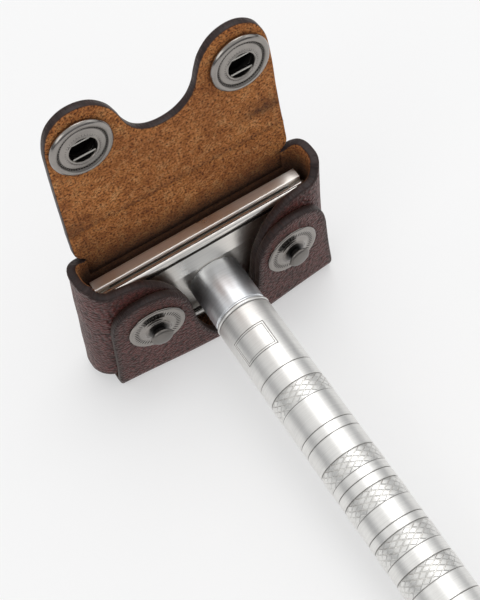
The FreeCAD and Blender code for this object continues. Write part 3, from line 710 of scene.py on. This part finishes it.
satin_lines, collar_lines = (60.0, SATIN_LINES, 60.0), (40.0, COLLAR_LINES, 40.0)
satin_steel = metal("turned_satin_steel", "#f0efec", 0.42, satin_lines, 0.000004, "#8f8d8a", 0.03)
polished_steel = metal("polished_steel", "#eef1f4", 0.36, collar_lines, 0.000002, worn=0.03)
# The plate's dark colour is painted shade for the base plate's channels.
plate_lines, channel_shade_colour = (40.0, 2500.0, 2500.0), "#3c3835"
head_steel = metal("brushed_plate_steel", "#f2eee8", 0.32, plate_lines, 0.000003, channel_shade_colour, 0.05)
blade_steel = metal("ground_blade_steel", "#a9adb0", 0.22, (30.0, 1500.0, 1500.0), 0.000002)
dark_nickel = metal("black_nickel_plate", "#9a9590", 0.22, (700.0,) * 3, 0.000005, "#1a1817", 0.07)
drawn_wire = metal("bright_drawn_wire", "#c4c1bb", 0.2, (200.0, 3000.0, 3000.0), 0.000002)
print("turning marks are", round(1000 / SATIN_LINES, 3), "mm apart")

# %% [markdown]
# ## The head
#
# The plates, the pins and the blade already have their right shape in the frame. A machined edge
# is never perfectly sharp, so a copy of each plate gets a small bevel along its long edges, which
# catches the light. The base plate's channels are painted darker, as painted shade.

# %% The head's plates
def bevelled_copy(node, width, material, body, segments=2, channel=None):
    """A copy of a frame node with its long sharp edges eased, width in millimetres. The channel is
    (depth, nearest, farthest): faces deeper than that, and that far from the middle, are painted dark as
    painted shade."""
    source = frame["nodes"][node].data
    mesh = bmesh.new()
    mesh.from_mesh(source)
    bmesh.ops.remove_doubles(mesh, verts=mesh.verts, dist=2e-6)
    bmesh.ops.dissolve_limit(mesh, angle_limit=math.radians(2), verts=mesh.verts, edges=mesh.edges)
    long = [edge for edge in mesh.edges if len(edge.link_faces) == 2 and edge.calc_length() > 6 * MM]
    sharp = [edge for edge in long if edge.calc_face_angle() > math.radians(30)]
    bmesh.ops.bevel(
        mesh, geom=sharp, offset=width * MM, segments=segments, affect="EDGES",
        clamp_overlap=True, profile=0.5)
    bmesh.ops.transform(mesh, matrix=RAZOR.inverted(), verts=mesh.verts)
    if channel:
        layer = mesh.faces.layers.float.new("mark")
        mesh.normal_update()
        depth, nearest, farthest = channel
        # Painted shade: the channel's faces take the dark colour.
        for face in mesh.faces:
            deep = all(v.co.y > depth and nearest < abs(v.co.z) < farthest for v in face.verts)
            if face.normal.y < 0 and deep:
                face[layer] = 1.0
    piece = finish_piece(node + "_eased", mesh, material, body, (node,), sharp=18)
    # Wide flat faces keep their own direction, so that only the bevel looks round.
    weighted = piece.modifiers.new("flat_faces", "WEIGHTED_NORMAL")
    weighted.keep_sharp = True
    piece.data = finished_mesh(piece)
    piece.modifiers.clear()
    return piece


bevelled_copy("cap_plate", 0.13, head_steel, "head", 3)
bevelled_copy("base_plate", 0.08, head_steel, "head", channel=(0.7, 8.0, 13.0))
for node in ("blade", "cap_pin_left", "cap_pin_right"):
    frame["nodes"][node].data.materials.clear()
    frame["nodes"][node].data.materials.append(blade_steel if node == "blade" else polished_steel)

# %% [markdown]
# ## Turned pieces
#
# Neck, grip, plug, studs and sockets all come off a lathe or a stamping press, so each is an
# outline swept round an axis. Corners of the outline are eased first. Grooves and holes in the metal
# are painted darker, as painted shade, the engraved square is darker because it is etched, and the
# mesh carries that darkness as an attribute.

# %% Sweeping an outline round an axis
def eased(profile, radius):
    """Rounds the corners of a profile of (radius, height, mark) points."""
    out = [profile[0]]
    for before, here, after in zip(profile, profile[1:], profile[2:]):
        p, a, b = Vector(here[:2]), Vector(before[:2]), Vector(after[:2])
        cut = min(radius, (a - p).length * 0.45, (b - p).length * 0.45)
        start, end = p + (a - p).normalized() * cut, p + (b - p).normalized() * cut
        for t in (0, 0.33, 0.67, 1):
            q = start * (1 - t) ** 2 + p * 2 * t * (1 - t) + end * t * t
            out.append((q.x, q.y, here[2]))
    return out + [profile[-1]]


def skinned(mesh, rings, closed=False, capped=False):
    """Joins neighbouring rings of points with faces, and fills the two ends if they are capped."""
    for low, high in list(zip(rings, rings[1:])) + ([(rings[-1], rings[0])] if closed else []):
        for k in range(len(low)):
            n = (k + 1) % len(low)
            mesh.faces.new((low[k], low[n], high[n], high[k]))
    if capped:
        mesh.faces.new(rings[0])
        mesh.faces.new(rings[-1])
    return mesh


def swept(profile, centre, axis, steps=96, closed=False, angles=None, dent=None):
    """A bmesh in razor millimetres: a profile turned about an axis through a centre."""
    axis = axis.normalized()
    across = axis.orthogonal() if abs(axis.z) > 0.9 else Vector((0, 0, 1)) - axis * axis.z
    across.normalize()
    other = axis.cross(across)
    angles = angles or [2 * math.pi * k / steps for k in range(steps)]
    mesh = bmesh.new()
    mark = mesh.verts.layers.float.new("mark")
    rings = []
    for r, h, m in profile:
        ring = []
        for angle in angles:
            deep, dark = dent(angle, h) if dent else (0.0, 0.0)
            spoke = across * math.cos(angle) + other * math.sin(angle)
            vert = mesh.verts.new(centre + axis * h + spoke * (r - deep))
            vert[mark] = max(m, dark)
            ring.append(vert)
        rings.append(ring)
    return skinned(mesh, rings, closed)


def marked(pairs, mark=0.0):
    """Gives every (radius, height) of a profile the same mark."""
    return [(r, h, mark) for r, h in pairs]


# %% [markdown]
# The neck is a polished collar. Its bore takes the cap's thread, which shows when the handle is
# unscrewed, so the thread is a real helix of 0.8 mm pitch.

# %% Neck and thread
HANDLE_WAY = Vector((0, -1, 0))     # down the handle, away from the head
NECK = 10.35                        # length of the collar
collar = marked([(2.5, 0), (5.0, 0), (5.25, 0.3), (5.25, NECK - 0.55)])
# Painted shade in the groove.
groove = marked([(5.08, NECK - 0.45), (5.08, NECK - 0.2)], 1.0)
spigot = marked([(3.75, NECK - 0.1), (3.75, NECK + 5.0), (0, NECK + 5.0)])
bore = marked([(0, 7.9), (2.5, 7.9), (2.5, 0)])
neck = swept(eased(collar + groove + spigot, 0.08) + bore, Vector(), HANDLE_WAY, 128)
finish_piece("neck_turned", neck, polished_steel, "neck", ("neck_collar",), sharp=35)


THREAD_END = 2.6            # the thread stops where the stud enters the cap plate


def thread(name, radius, top, bottom, pitch=0.8, depth=0.42):
    """A threaded stud: the helix is cut by moving each point in by its place in the pitch."""
    mesh = bmesh.new()
    steps, rise = 48, 0.1
    rows = round((top - bottom) / rise)
    rings = []
    for row in range(rows + 1):
        h = top + (bottom - top) * row / rows
        ring = []
        for k in range(steps):
            turn = ((h / pitch) - k / steps) % 1.0
            threaded = THREAD_END > h > bottom + 0.3
            cut = depth * (1 - abs(2 * turn - 1)) if threaded else depth * 0.8
            angle = 2 * math.pi * k / steps
            reach = radius - cut
            ring.append(mesh.verts.new((reach * math.cos(angle), h, reach * math.sin(angle))))
        rings.append(ring)
    mesh = skinned(mesh, rings, capped=True)
    return finish_piece(name, mesh, polished_steel, "head", ("cap_stud",), sharp=50)


thread("cap_thread", 2.4, 4.2, -6.4)

# %% [markdown]
# ## The grip
#
# A satin tube with fine turned rings, a small engraved square and five knurled bands. Rings and
# square are cut into a grid whose lines fall exactly on their edges, so they stay crisp.

# %% Grip tube
GRIP = 5.45
RINGS = (25.3, 38.4, 40.4, 49.8, 58.7, 73.8)
BANDS = ((28.9, 32.5), (44.6, 48.0), (51.7, 55.1), (60.3, 63.9), (66.6, 70.0))
SQUARE = (15.6, 21.0)       # the engraved square, along the handle
SQUARE_HALF = 3.8           # half its width round the surface
SQUARE_TURN = 0.445         # it faces a little to one side of straight up
LINE = 0.2                  # width of the square's outer line
INSETS = (0.0, 0.05, LINE - 0.05, LINE, 0.42, 0.46, 0.56, 0.6)      # edges of its two lines
BORE, BAND_DEPTH, GRIP_END = 3.8, 0.07, 88.4


def grip_profile():
    """The tube's outline: a lip, turned rings, knurled bands a little sunk, and the square's rows."""
    lip = marked([
        (BORE, NECK), (5.2, NECK), (GRIP + 0.06, NECK + 0.14),
        (GRIP + 0.08, NECK + 0.42), (GRIP + 0.02, NECK + 0.62)])
    # Painted shade in the lip's groove.
    lip += marked([(GRIP - 0.1, NECK + 0.7), (GRIP - 0.1, NECK + 0.82)], 1.0) + [(GRIP, NECK + 0.92, 0.0)]
    cuts = [(place, "ring") for place in RINGS]
    cuts += [(low, "into") for low, high in BANDS] + [(high, "out of") for low, high in BANDS]
    rows = []
    level = GRIP
    for place, kind in sorted(cuts):
        after = {"ring": level, "into": GRIP - BAND_DEPTH, "out of": GRIP}[kind]
        # Painted shade: the groove bottoms are marked dark, and the step into a knurled band a little.
        shade = 0.35 if kind == "into" else 0.0
        rows += [(level, place - 0.11, 0.0), (GRIP - 0.13, place - 0.04, 0.9)]
        rows += [(GRIP - 0.13, place + 0.04, 0.9), (after, place + 0.11, shade)]
        level = after
    rows.append((GRIP, GRIP_END, 0.0))
    low, high = SQUARE
    rows += [(GRIP, low + inset, 0.0) for inset in INSETS] + [(GRIP, high - inset, 0.0) for inset in INSETS]
    rows += [(GRIP, low + 0.7 + k * 0.5, 0.0) for k in range(1, 8)]
    return lip + sorted(rows, key=lambda row: row[1]) + [(BORE, GRIP_END, 0.0)]


def square_line(angle, h):
    """Depth and darkness of the engraved square at a place on the grip."""
    turn = (angle - SQUARE_TURN + math.pi) % (2 * math.pi) - math.pi
    inset = min(SQUARE_HALF - abs(turn * GRIP), h - SQUARE[0], SQUARE[1] - h)
    if 0.04 < inset < LINE - 0.04:
        return 0.07, 1.0
    if 0.45 < inset < 0.57:
        return 0.04, 0.8
    return 0.0, 0.0


grip_angles = {2 * math.pi * k / 150 for k in range(150)}
for side in (-1, 1):
    grip_angles |= {(SQUARE_TURN + side * (SQUARE_HALF - inset) / GRIP) % (2 * math.pi) for inset in INSETS}
grip = swept(grip_profile(), Vector(), HANDLE_WAY, angles=sorted(grip_angles), dent=square_line, closed=True)
finish_piece("grip_turned", grip, satin_steel, "handle", ("grip_tube",), sharp=40)
stem = [(0, 83.4), (BORE, 83.4), (BORE, 88.35), (GRIP - 0.05, 88.35), (GRIP - 0.05, 88.5), (GRIP, 88.56)]
button = [(GRIP, 89.4), (GRIP - 0.6, 90.0), (GRIP - 2, 90.0), (GRIP - 2, 89.2), (0, 89.2)]
plug = swept(eased(marked(stem + button), 0.12), Vector(), HANDLE_WAY, 128)
finish_piece("plug_turned", plug, satin_steel, "handle", ("end_plug",), sharp=40)

# %% [markdown]
# ## Knurling
#
# A knurling wheel presses rows of diamonds into the turning grip. Geometry Nodes repeats one flat
# topped diamond over a lattice on the flat, and then wraps the lattice round the tube: the place
# across becomes an angle, and the height becomes a radius.

# %% Knurled bands by Geometry Nodes
def new_tree(name, **inputs):
    """A Geometry Nodes tree with named inputs and one geometry output."""
    tree = bpy.data.node_groups.new(name, "GeometryNodeTree")
    tree.interface.new_socket("Geometry", in_out="OUTPUT", socket_type="NodeSocketGeometry")
    kinds = {int: "NodeSocketInt", float: "NodeSocketFloat"}
    for key, value in inputs.items():
        kind = kinds.get(type(value), "NodeSocketMaterial")
        tree.interface.new_socket(key, in_out="INPUT", socket_type=kind)
    return tree, add_node(tree, "NodeGroupInput").outputs


def node_result(tree, kind, **sockets):
    """The first output of a Geometry Node whose sockets are filled by name."""
    filled = {key.replace("_", " "): value for key, value in sockets.items()}
    return add_node(tree, "GeometryNode" + kind, filled).outputs[0]


def finished_tree(tree, geometry, finish):
    """Gives the geometry its material and passes it to the tree's output."""
    done = node_result(tree, "SetMaterial", Geometry=geometry, Material=finish)
    add_node(tree, "NodeGroupOutput", {"Geometry": done})
    return tree


def position(tree):
    """The x, y and z of each point."""
    return add_node(tree, "ShaderNodeSeparateXYZ", {0: node_result(tree, "InputPosition")}).outputs


def grown(name, tree, values):
    """Runs a tree with values for its inputs and returns the plain mesh it makes."""
    holder = new_object(name, bpy.data.meshes.new(name))
    modifier = holder.modifiers.new(name, "NODES")
    modifier.node_group = tree
    for item in tree.interface.items_tree:
        if item.in_out == "INPUT":
            modifier[item.identifier] = values[item.name]
    made = finished_mesh(holder)
    holder.modifiers.clear()
    bpy.data.objects.remove(holder)
    return made


def knurl_tree(values):
    """Rows of diamonds, every other row shifted by half a diamond, wrapped round the tube."""
    tree, inputs = new_tree("knurl_bands", **values)

    def maths(how, a, b=0.0):
        return add_node(tree, "ShaderNodeMath", {0: a, 1: b}, operation=how).outputs[0]

    def vector(x, y, z):
        return add_node(tree, "ShaderNodeCombineXYZ", {"X": x, "Y": y, "Z": z}).outputs[0]

    corners = {"Vertices": 4, "Radius": 1.0}
    diamond = add_node(tree, "GeometryNodeMeshCircle", corners, fill_type="NGON").outputs[0]
    upright = {"Mesh": diamond, "Offset Scale": 1.0}
    raised = add_node(tree, "GeometryNodeExtrudeMesh", upright, mode="FACES")
    top = {"Geometry": raised.outputs["Mesh"], "Selection": raised.outputs["Top"], "Scale": 0.72}
    tapered = add_node(tree, "GeometryNodeScaleElements", top).outputs[0]
    fine = node_result(tree, "SubdivideMesh", Mesh=tapered, Level=2)
    wide = maths("DIVIDE", maths("MULTIPLY", inputs["Radius"], math.tau), inputs["Around"])
    size = vector(maths("MULTIPLY", wide, 0.48), maths("MULTIPLY", inputs["Pitch"], 0.48), inputs["Height"])
    bands = []
    for low, high in BANDS:
        for shift, rows in ((0.0, 3), (0.5, 2)):
            count = inputs["Around"]
            long = maths("MULTIPLY", inputs["Pitch"], rows - 1.0)
            across = maths("MULTIPLY", wide, maths("SUBTRACT", count, 1.0))
            lattice = node_result(
                tree, "MeshGrid", Size_X=across, Size_Y=long, Vertices_X=count, Vertices_Y=rows)
            shifted = vector(maths("MULTIPLY", wide, shift), (low + high) / 2, 0.0)
            bands.append(node_result(tree, "Transform", Geometry=lattice, Translation=shifted))
    joined = add_node(tree, "GeometryNodeJoinGeometry")
    for band in bands:
        tree.links.new(band, joined.inputs[0])
    placed = node_result(tree, "InstanceOnPoints", Points=joined.outputs[0], Instance=fine, Scale=size)
    real = node_result(tree, "RealizeInstances", Geometry=placed)
    spot = position(tree)
    angle = maths("DIVIDE", spot[0], inputs["Radius"])
    reach = maths("ADD", inputs["Floor"], spot[2])
    sideways = maths("MULTIPLY", maths("SINE", angle), reach)
    upwards = maths("MULTIPLY", maths("COSINE", angle), reach)
    wrapped = vector(sideways, maths("MULTIPLY", spot[1], -1.0), upwards)
    bent = node_result(tree, "SetPosition", Geometry=real, Position=wrapped)
    return finished_tree(tree, bent, inputs["Finish"])


knurl_values = {"Around": 17, "Radius": GRIP, "Pitch": 1.13, "Height": 0.14, "Floor": GRIP - 0.075}
knurl_values["Finish"] = satin_steel
knurl = bmesh.new()
knurl.from_mesh(grown("knurl", knurl_tree(knurl_values), knurl_values))
finish_piece("knurl_diamonds", knurl, satin_steel, "handle", sharp=20)

# %% [markdown]
# ## Snap fasteners
#
# The studs and sockets are stamped from thin sheet and plated dark. The stamping leaves a ring of
# little radial ticks. Geometry Nodes repeats one tick round a circle.

# %% Radial ticks by Geometry Nodes
def ticks_tree(values):
    """A ring of small bars, each pointing away from the middle."""
    tree, inputs = new_tree("radial_ticks", **values)
    circle = node_result(tree, "MeshCircle", Vertices=inputs["Count"], Radius=inputs["Radius"])
    sockets = {"X": inputs["Length"], "Y": inputs["Width"], "Z": inputs["Height"]}
    size = add_node(tree, "ShaderNodeCombineXYZ", sockets).outputs[0]
    bar = node_result(tree, "MeshIcoSphere", Radius=0.5, Subdivisions=2)
    spot = position(tree)
    turn = add_node(tree, "ShaderNodeMath", {0: spot[1], 1: spot[0]}, operation="ARCTAN2").outputs[0]
    turned = add_node(tree, "ShaderNodeCombineXYZ", {"Z": turn}).outputs[0]
    placed = node_result(tree, "InstanceOnPoints", Points=circle, Instance=bar, Rotation=turned, Scale=size)
    real = node_result(tree, "RealizeInstances", Geometry=placed)
    return finished_tree(tree, real, inputs["Finish"])


def ticks(count, radius, length, width, height):
    """The mesh of a ring of dark ticks."""
    values = {"Count": count, "Radius": radius, "Length": length, "Width": width, "Height": height}
    values["Finish"] = dark_nickel
    return grown("ticks", ticks_tree(values), values)


stud_ticks = ticks(44, 4.15, 1.2, 0.24, 0.2)
socket_beads = ticks(56, 4.25, 0.3, 0.22, 0.26)
mouth_ticks = ticks(40, 2.98, 0.5, 0.1, 0.08)
print("a stud has", len(stud_ticks.vertices) // 42, "ticks")


def facing(centre, axis):
    """Matrix that carries a flat ring, drawn round Z, onto a place in the razor's axes."""
    return Matrix.Translation(centre) @ Vector((0, 0, 1)).rotation_difference(axis).to_matrix().to_4x4()


def add_ring(mesh, ring, centre, axis, height, dark):
    """Adds a copy of a ring of ticks to a bmesh, at a height along the axis."""
    part = bmesh.new()
    part.from_mesh(ring)
    bmesh.ops.transform(part, matrix=facing(centre + axis * height, axis), verts=part.verts)
    copy = bpy.data.meshes.new("ring")
    part.to_mesh(copy)
    part.free()
    before = len(mesh.verts)
    mesh.from_mesh(copy)
    mesh.verts.ensure_lookup_table()
    layer = mesh.verts.layers.float["mark"]
    for vert in mesh.verts[before:]:
        vert[layer] = dark


def snap_piece(name, mesh, body, node):
    """A dark plated piece of a snap that stands for one node."""
    finish_piece(name, mesh, dark_nickel, body, (node,), sharp=60)


# %% Studs
FLANGE = [
    (0, -0.1), (5.6, -0.1), (5.6, 0.22), (5.4, 0.42), (4.95, 0.45),
    (4.85, 0.4), (3.3, 0.4), (3.1, 0.46), (2.7, 0.55),
]
# The waist under the button is painted dark, as painted shade.
WAIST = [(2.4, 0.8, 0.2), (1.75, 0.98, 0.75), (1.26, 1.12, 1.0), (1.26, 1.96, 0.9), (1.8, 2.06, 0.5)]
BUTTON = [
    (2.14, 2.16), (2.2, 2.34), (2.1, 2.58), (1.86, 2.79),
    (1.46, 2.93), (0.98, 3.01), (0.48, 3.05), (0, 3.06),
]
EYELET = [(0, -4.05), (3.4, -4.05), (4.0, -3.85), (4.0, -3.62), (1.2, -3.58), (1.2, 0.2), (0, 0.2)]
for name, side in (("left", -1), ("right", 1)):
    seat = Vector((side * SNAP_ACROSS, front_middle(SNAP_ACROSS, 2), SNAP_HEIGHT))
    out = Vector((side * math.sin(SLOPE), -math.cos(SLOPE), 0))
    profile = eased(marked(FLANGE) + WAIST + marked(BUTTON, 0.4), 0.08)
    mesh = swept(profile, seat, out, 96)
    add_ring(mesh, stud_ticks, seat, out, 0.36, 0.9)
    snap_piece("stud_stamped_" + name, mesh, "sheath", "stud_" + name)
    eyelet = swept(eased(marked(EYELET), 0.12), seat, out, 64)
    snap_piece("eyelet_stamped_" + name, eyelet, "sheath", "stud_eyelet_" + name)

# %% [markdown]
# A socket has a wide rolled rim, a row of beads in the groove inside it, and a raised mouth. Two
# straight spring wires cross behind the mouth and grip the stud's waist.

# %% Sockets, springs and caps
RIM = [(2.47, 0.05), (5.5, 0.0), (5.62, 0.3), (5.6, 0.62), (5.42, 0.95), (5.1, 1.16), (4.7, 1.2)]
# The groove behind the beads is painted dark, as painted shade.
BEAD_GROOVE = [(4.42, 1.0, 0.35), (4.36, 0.72, 1.0), (4.14, 0.72, 1.0), (4.1, 0.86, 0.2)]
MOUTH = [(3.9, 0.93), (3.3, 1.02), (2.95, 1.08), (2.85, 1.24), (2.66, 1.28), (2.51, 1.16), (2.47, 0.95)]
CAP = [
    (0, -2.62), (2.6, -2.6), (4.4, -2.5), (5.3, -2.2), (5.6, -1.9),
    (5.4, -1.72), (3.2, -1.75), (3.2, -0.2), (2.66, -0.2),
]
BARREL_FLOOR = -1.35        # painted shade: the dark bottom of the hole that the stud enters
WIRE, WIRE_PLACE, WIRE_DEPTH, WIRE_BOW = 0.2, 1.65, 0.65, 0.05
FLAP = Matrix.Translation(Vector((0, 7.0, FOLD_HEIGHT))) @ Matrix.Rotation(-LEAN, 4, "X")


def spring_wires(side):
    """Two wires behind a socket's mouth, bowed a little toward the stud."""
    mesh = bmesh.new()
    angles = [math.tau * j / 12 for j in range(12)]
    spokes = [Vector((0, math.cos(angle), math.sin(angle))) for angle in angles]
    for way in (-1, 1):
        rings = []
        for x in [-3.0 + 6.0 * k / 16 for k in range(17)]:
            z = way * (WIRE_PLACE - WIRE_BOW * math.cos(math.pi * x / 6.0))
            spot = Vector((side * SNAP_ACROSS + x, -WIRE_DEPTH, SOCKET_PLACE + z))
            rings.append([mesh.verts.new(FLAP @ (spot + spoke * WIRE)) for spoke in spokes])
        skinned(mesh, rings, capped=True)
    return mesh


for name, side in (("left", -1), ("right", 1)):
    centre = FLAP @ Vector((side * SNAP_ACROSS, 0, SOCKET_PLACE))
    out = (FLAP.to_3x3() @ Vector((0, -1, 0))).normalized()
    # The inside of the mouth is painted dark, as painted shade.
    profile = eased(marked(RIM) + BEAD_GROOVE + marked(MOUTH) + [(2.49, 0.6, 0.8)], 0.1)
    mesh = swept(profile, centre, out, 96, closed=True)
    add_ring(mesh, socket_beads, centre, out, 0.86, 0.0)
    add_ring(mesh, mouth_ticks, centre, out, 1.05, 0.85)
    snap_piece("socket_stamped_" + name, mesh, "flap_tip", "socket_" + name)
    cap = eased(marked(CAP) + marked([(2.6, BARREL_FLOOR), (0, BARREL_FLOOR)], 1.0), 0.04)
    snap_piece("cap_stamped_" + name, swept(cap, centre, out, 96), "flap_tip", "socket_cap_" + name)
    finish_piece(
        "spring_wires_" + name, spring_wires(side), drawn_wire, "flap_tip",
        ("socket_spring_" + name,), sharp=60)

# %% [markdown]
# ## Stage, light and camera
#
# A white table that gives off a little light of its own, a softbox overhead, a fill on each side,
# and a room that is bright overhead and dim at the horizon. The grip mirrors all of them.

# %% Table and lights
table_white, _, table_shader = start_material("white_table", Roughness=0.9)
table_shader.inputs["Base Color"].default_value = paint("#bcbcbc")
table_shader.inputs["Specular IOR Level"].default_value = 0.1
table_shader.inputs["Emission Color"].default_value = paint("#ffffff")
table_shader.inputs["Emission Strength"].default_value = 0.43
table = bmesh.new()
bmesh.ops.create_grid(table, x_segments=1, y_segments=1, size=40.0)
table_mesh = bpy.data.meshes.new("table")
table.to_mesh(table_mesh)
table.free()
table_mesh.materials.append(table_white)
new_object("table", table_mesh)


def soft_light(name, place, aim, size, power, colour="#ffffff"):
    """A square softbox at a place, facing a point, in metres and watts."""
    light = bpy.data.lights.new(name, "AREA")
    light.size = size
    light.energy = power
    light.color = paint(colour)[:3]
    lamp = new_object(name, light)
    turn = (Vector(aim) - Vector(place)).to_track_quat("-Z", "Y")
    lamp.matrix_world = Matrix.Translation(place) @ turn.to_matrix().to_4x4()


soft_light("overhead_softbox", (0.3, 0.26, 1.0), (0, 0.0, 0.01), 0.7, 3.4)
soft_light("right_fill", (1.1, -0.3, 0.6), (0, 0, 0.02), 0.8, 1.2)
soft_light("left_fill", (-0.9, -0.35, 0.75), (0, 0, 0.02), 0.6, 1.6)
world = bpy.data.worlds.new("room")
world.use_nodes = True
way = add_node(world.node_tree, "ShaderNodeTexCoord").outputs["Generated"]
height = add_node(world.node_tree, "ShaderNodeSeparateXYZ", {"Vector": way}).outputs["Z"]
horizon, middle, zenith = (paint(grey) for grey in ("#4c4e52", "#a4a6a9", "#fbfbfb"))
dome = ramp(world.node_tree, height, (0.0, horizon), (0.3, middle), (0.62, zenith))
world.node_tree.links.new(dome, world.node_tree.nodes["Background"].inputs["Color"])
world.node_tree.nodes["Background"].inputs["Strength"].default_value = 0.82
bpy.context.scene.world = world
bpy.context.scene.view_settings.view_transform = "Standard"

# %% Camera
CAMERA_PLACE = (-42.0, -104.0, 191.5)
LOOK, RIGHT = Vector((0.198, 0.442, -0.875)).normalized(), Vector((0.847, -0.526, -0.074))
FOCAL = 70.9                # millimetres on a 36 mm sensor
camera = bpy.data.cameras.new("camera")
camera.sensor_width = 36.0
camera.lens = FOCAL
camera.clip_start = 0.01
eye = new_object("camera", camera)
RIGHT = (RIGHT - LOOK * RIGHT.dot(LOOK)).normalized()
stand = Matrix((RIGHT, RIGHT.cross(LOOK), -LOOK)).transposed()
eye.matrix_world = Matrix.Translation(RAZOR @ Vector(CAMERA_PLACE)) @ (AXES @ stand).to_4x4()
bpy.context.scene.camera = eye
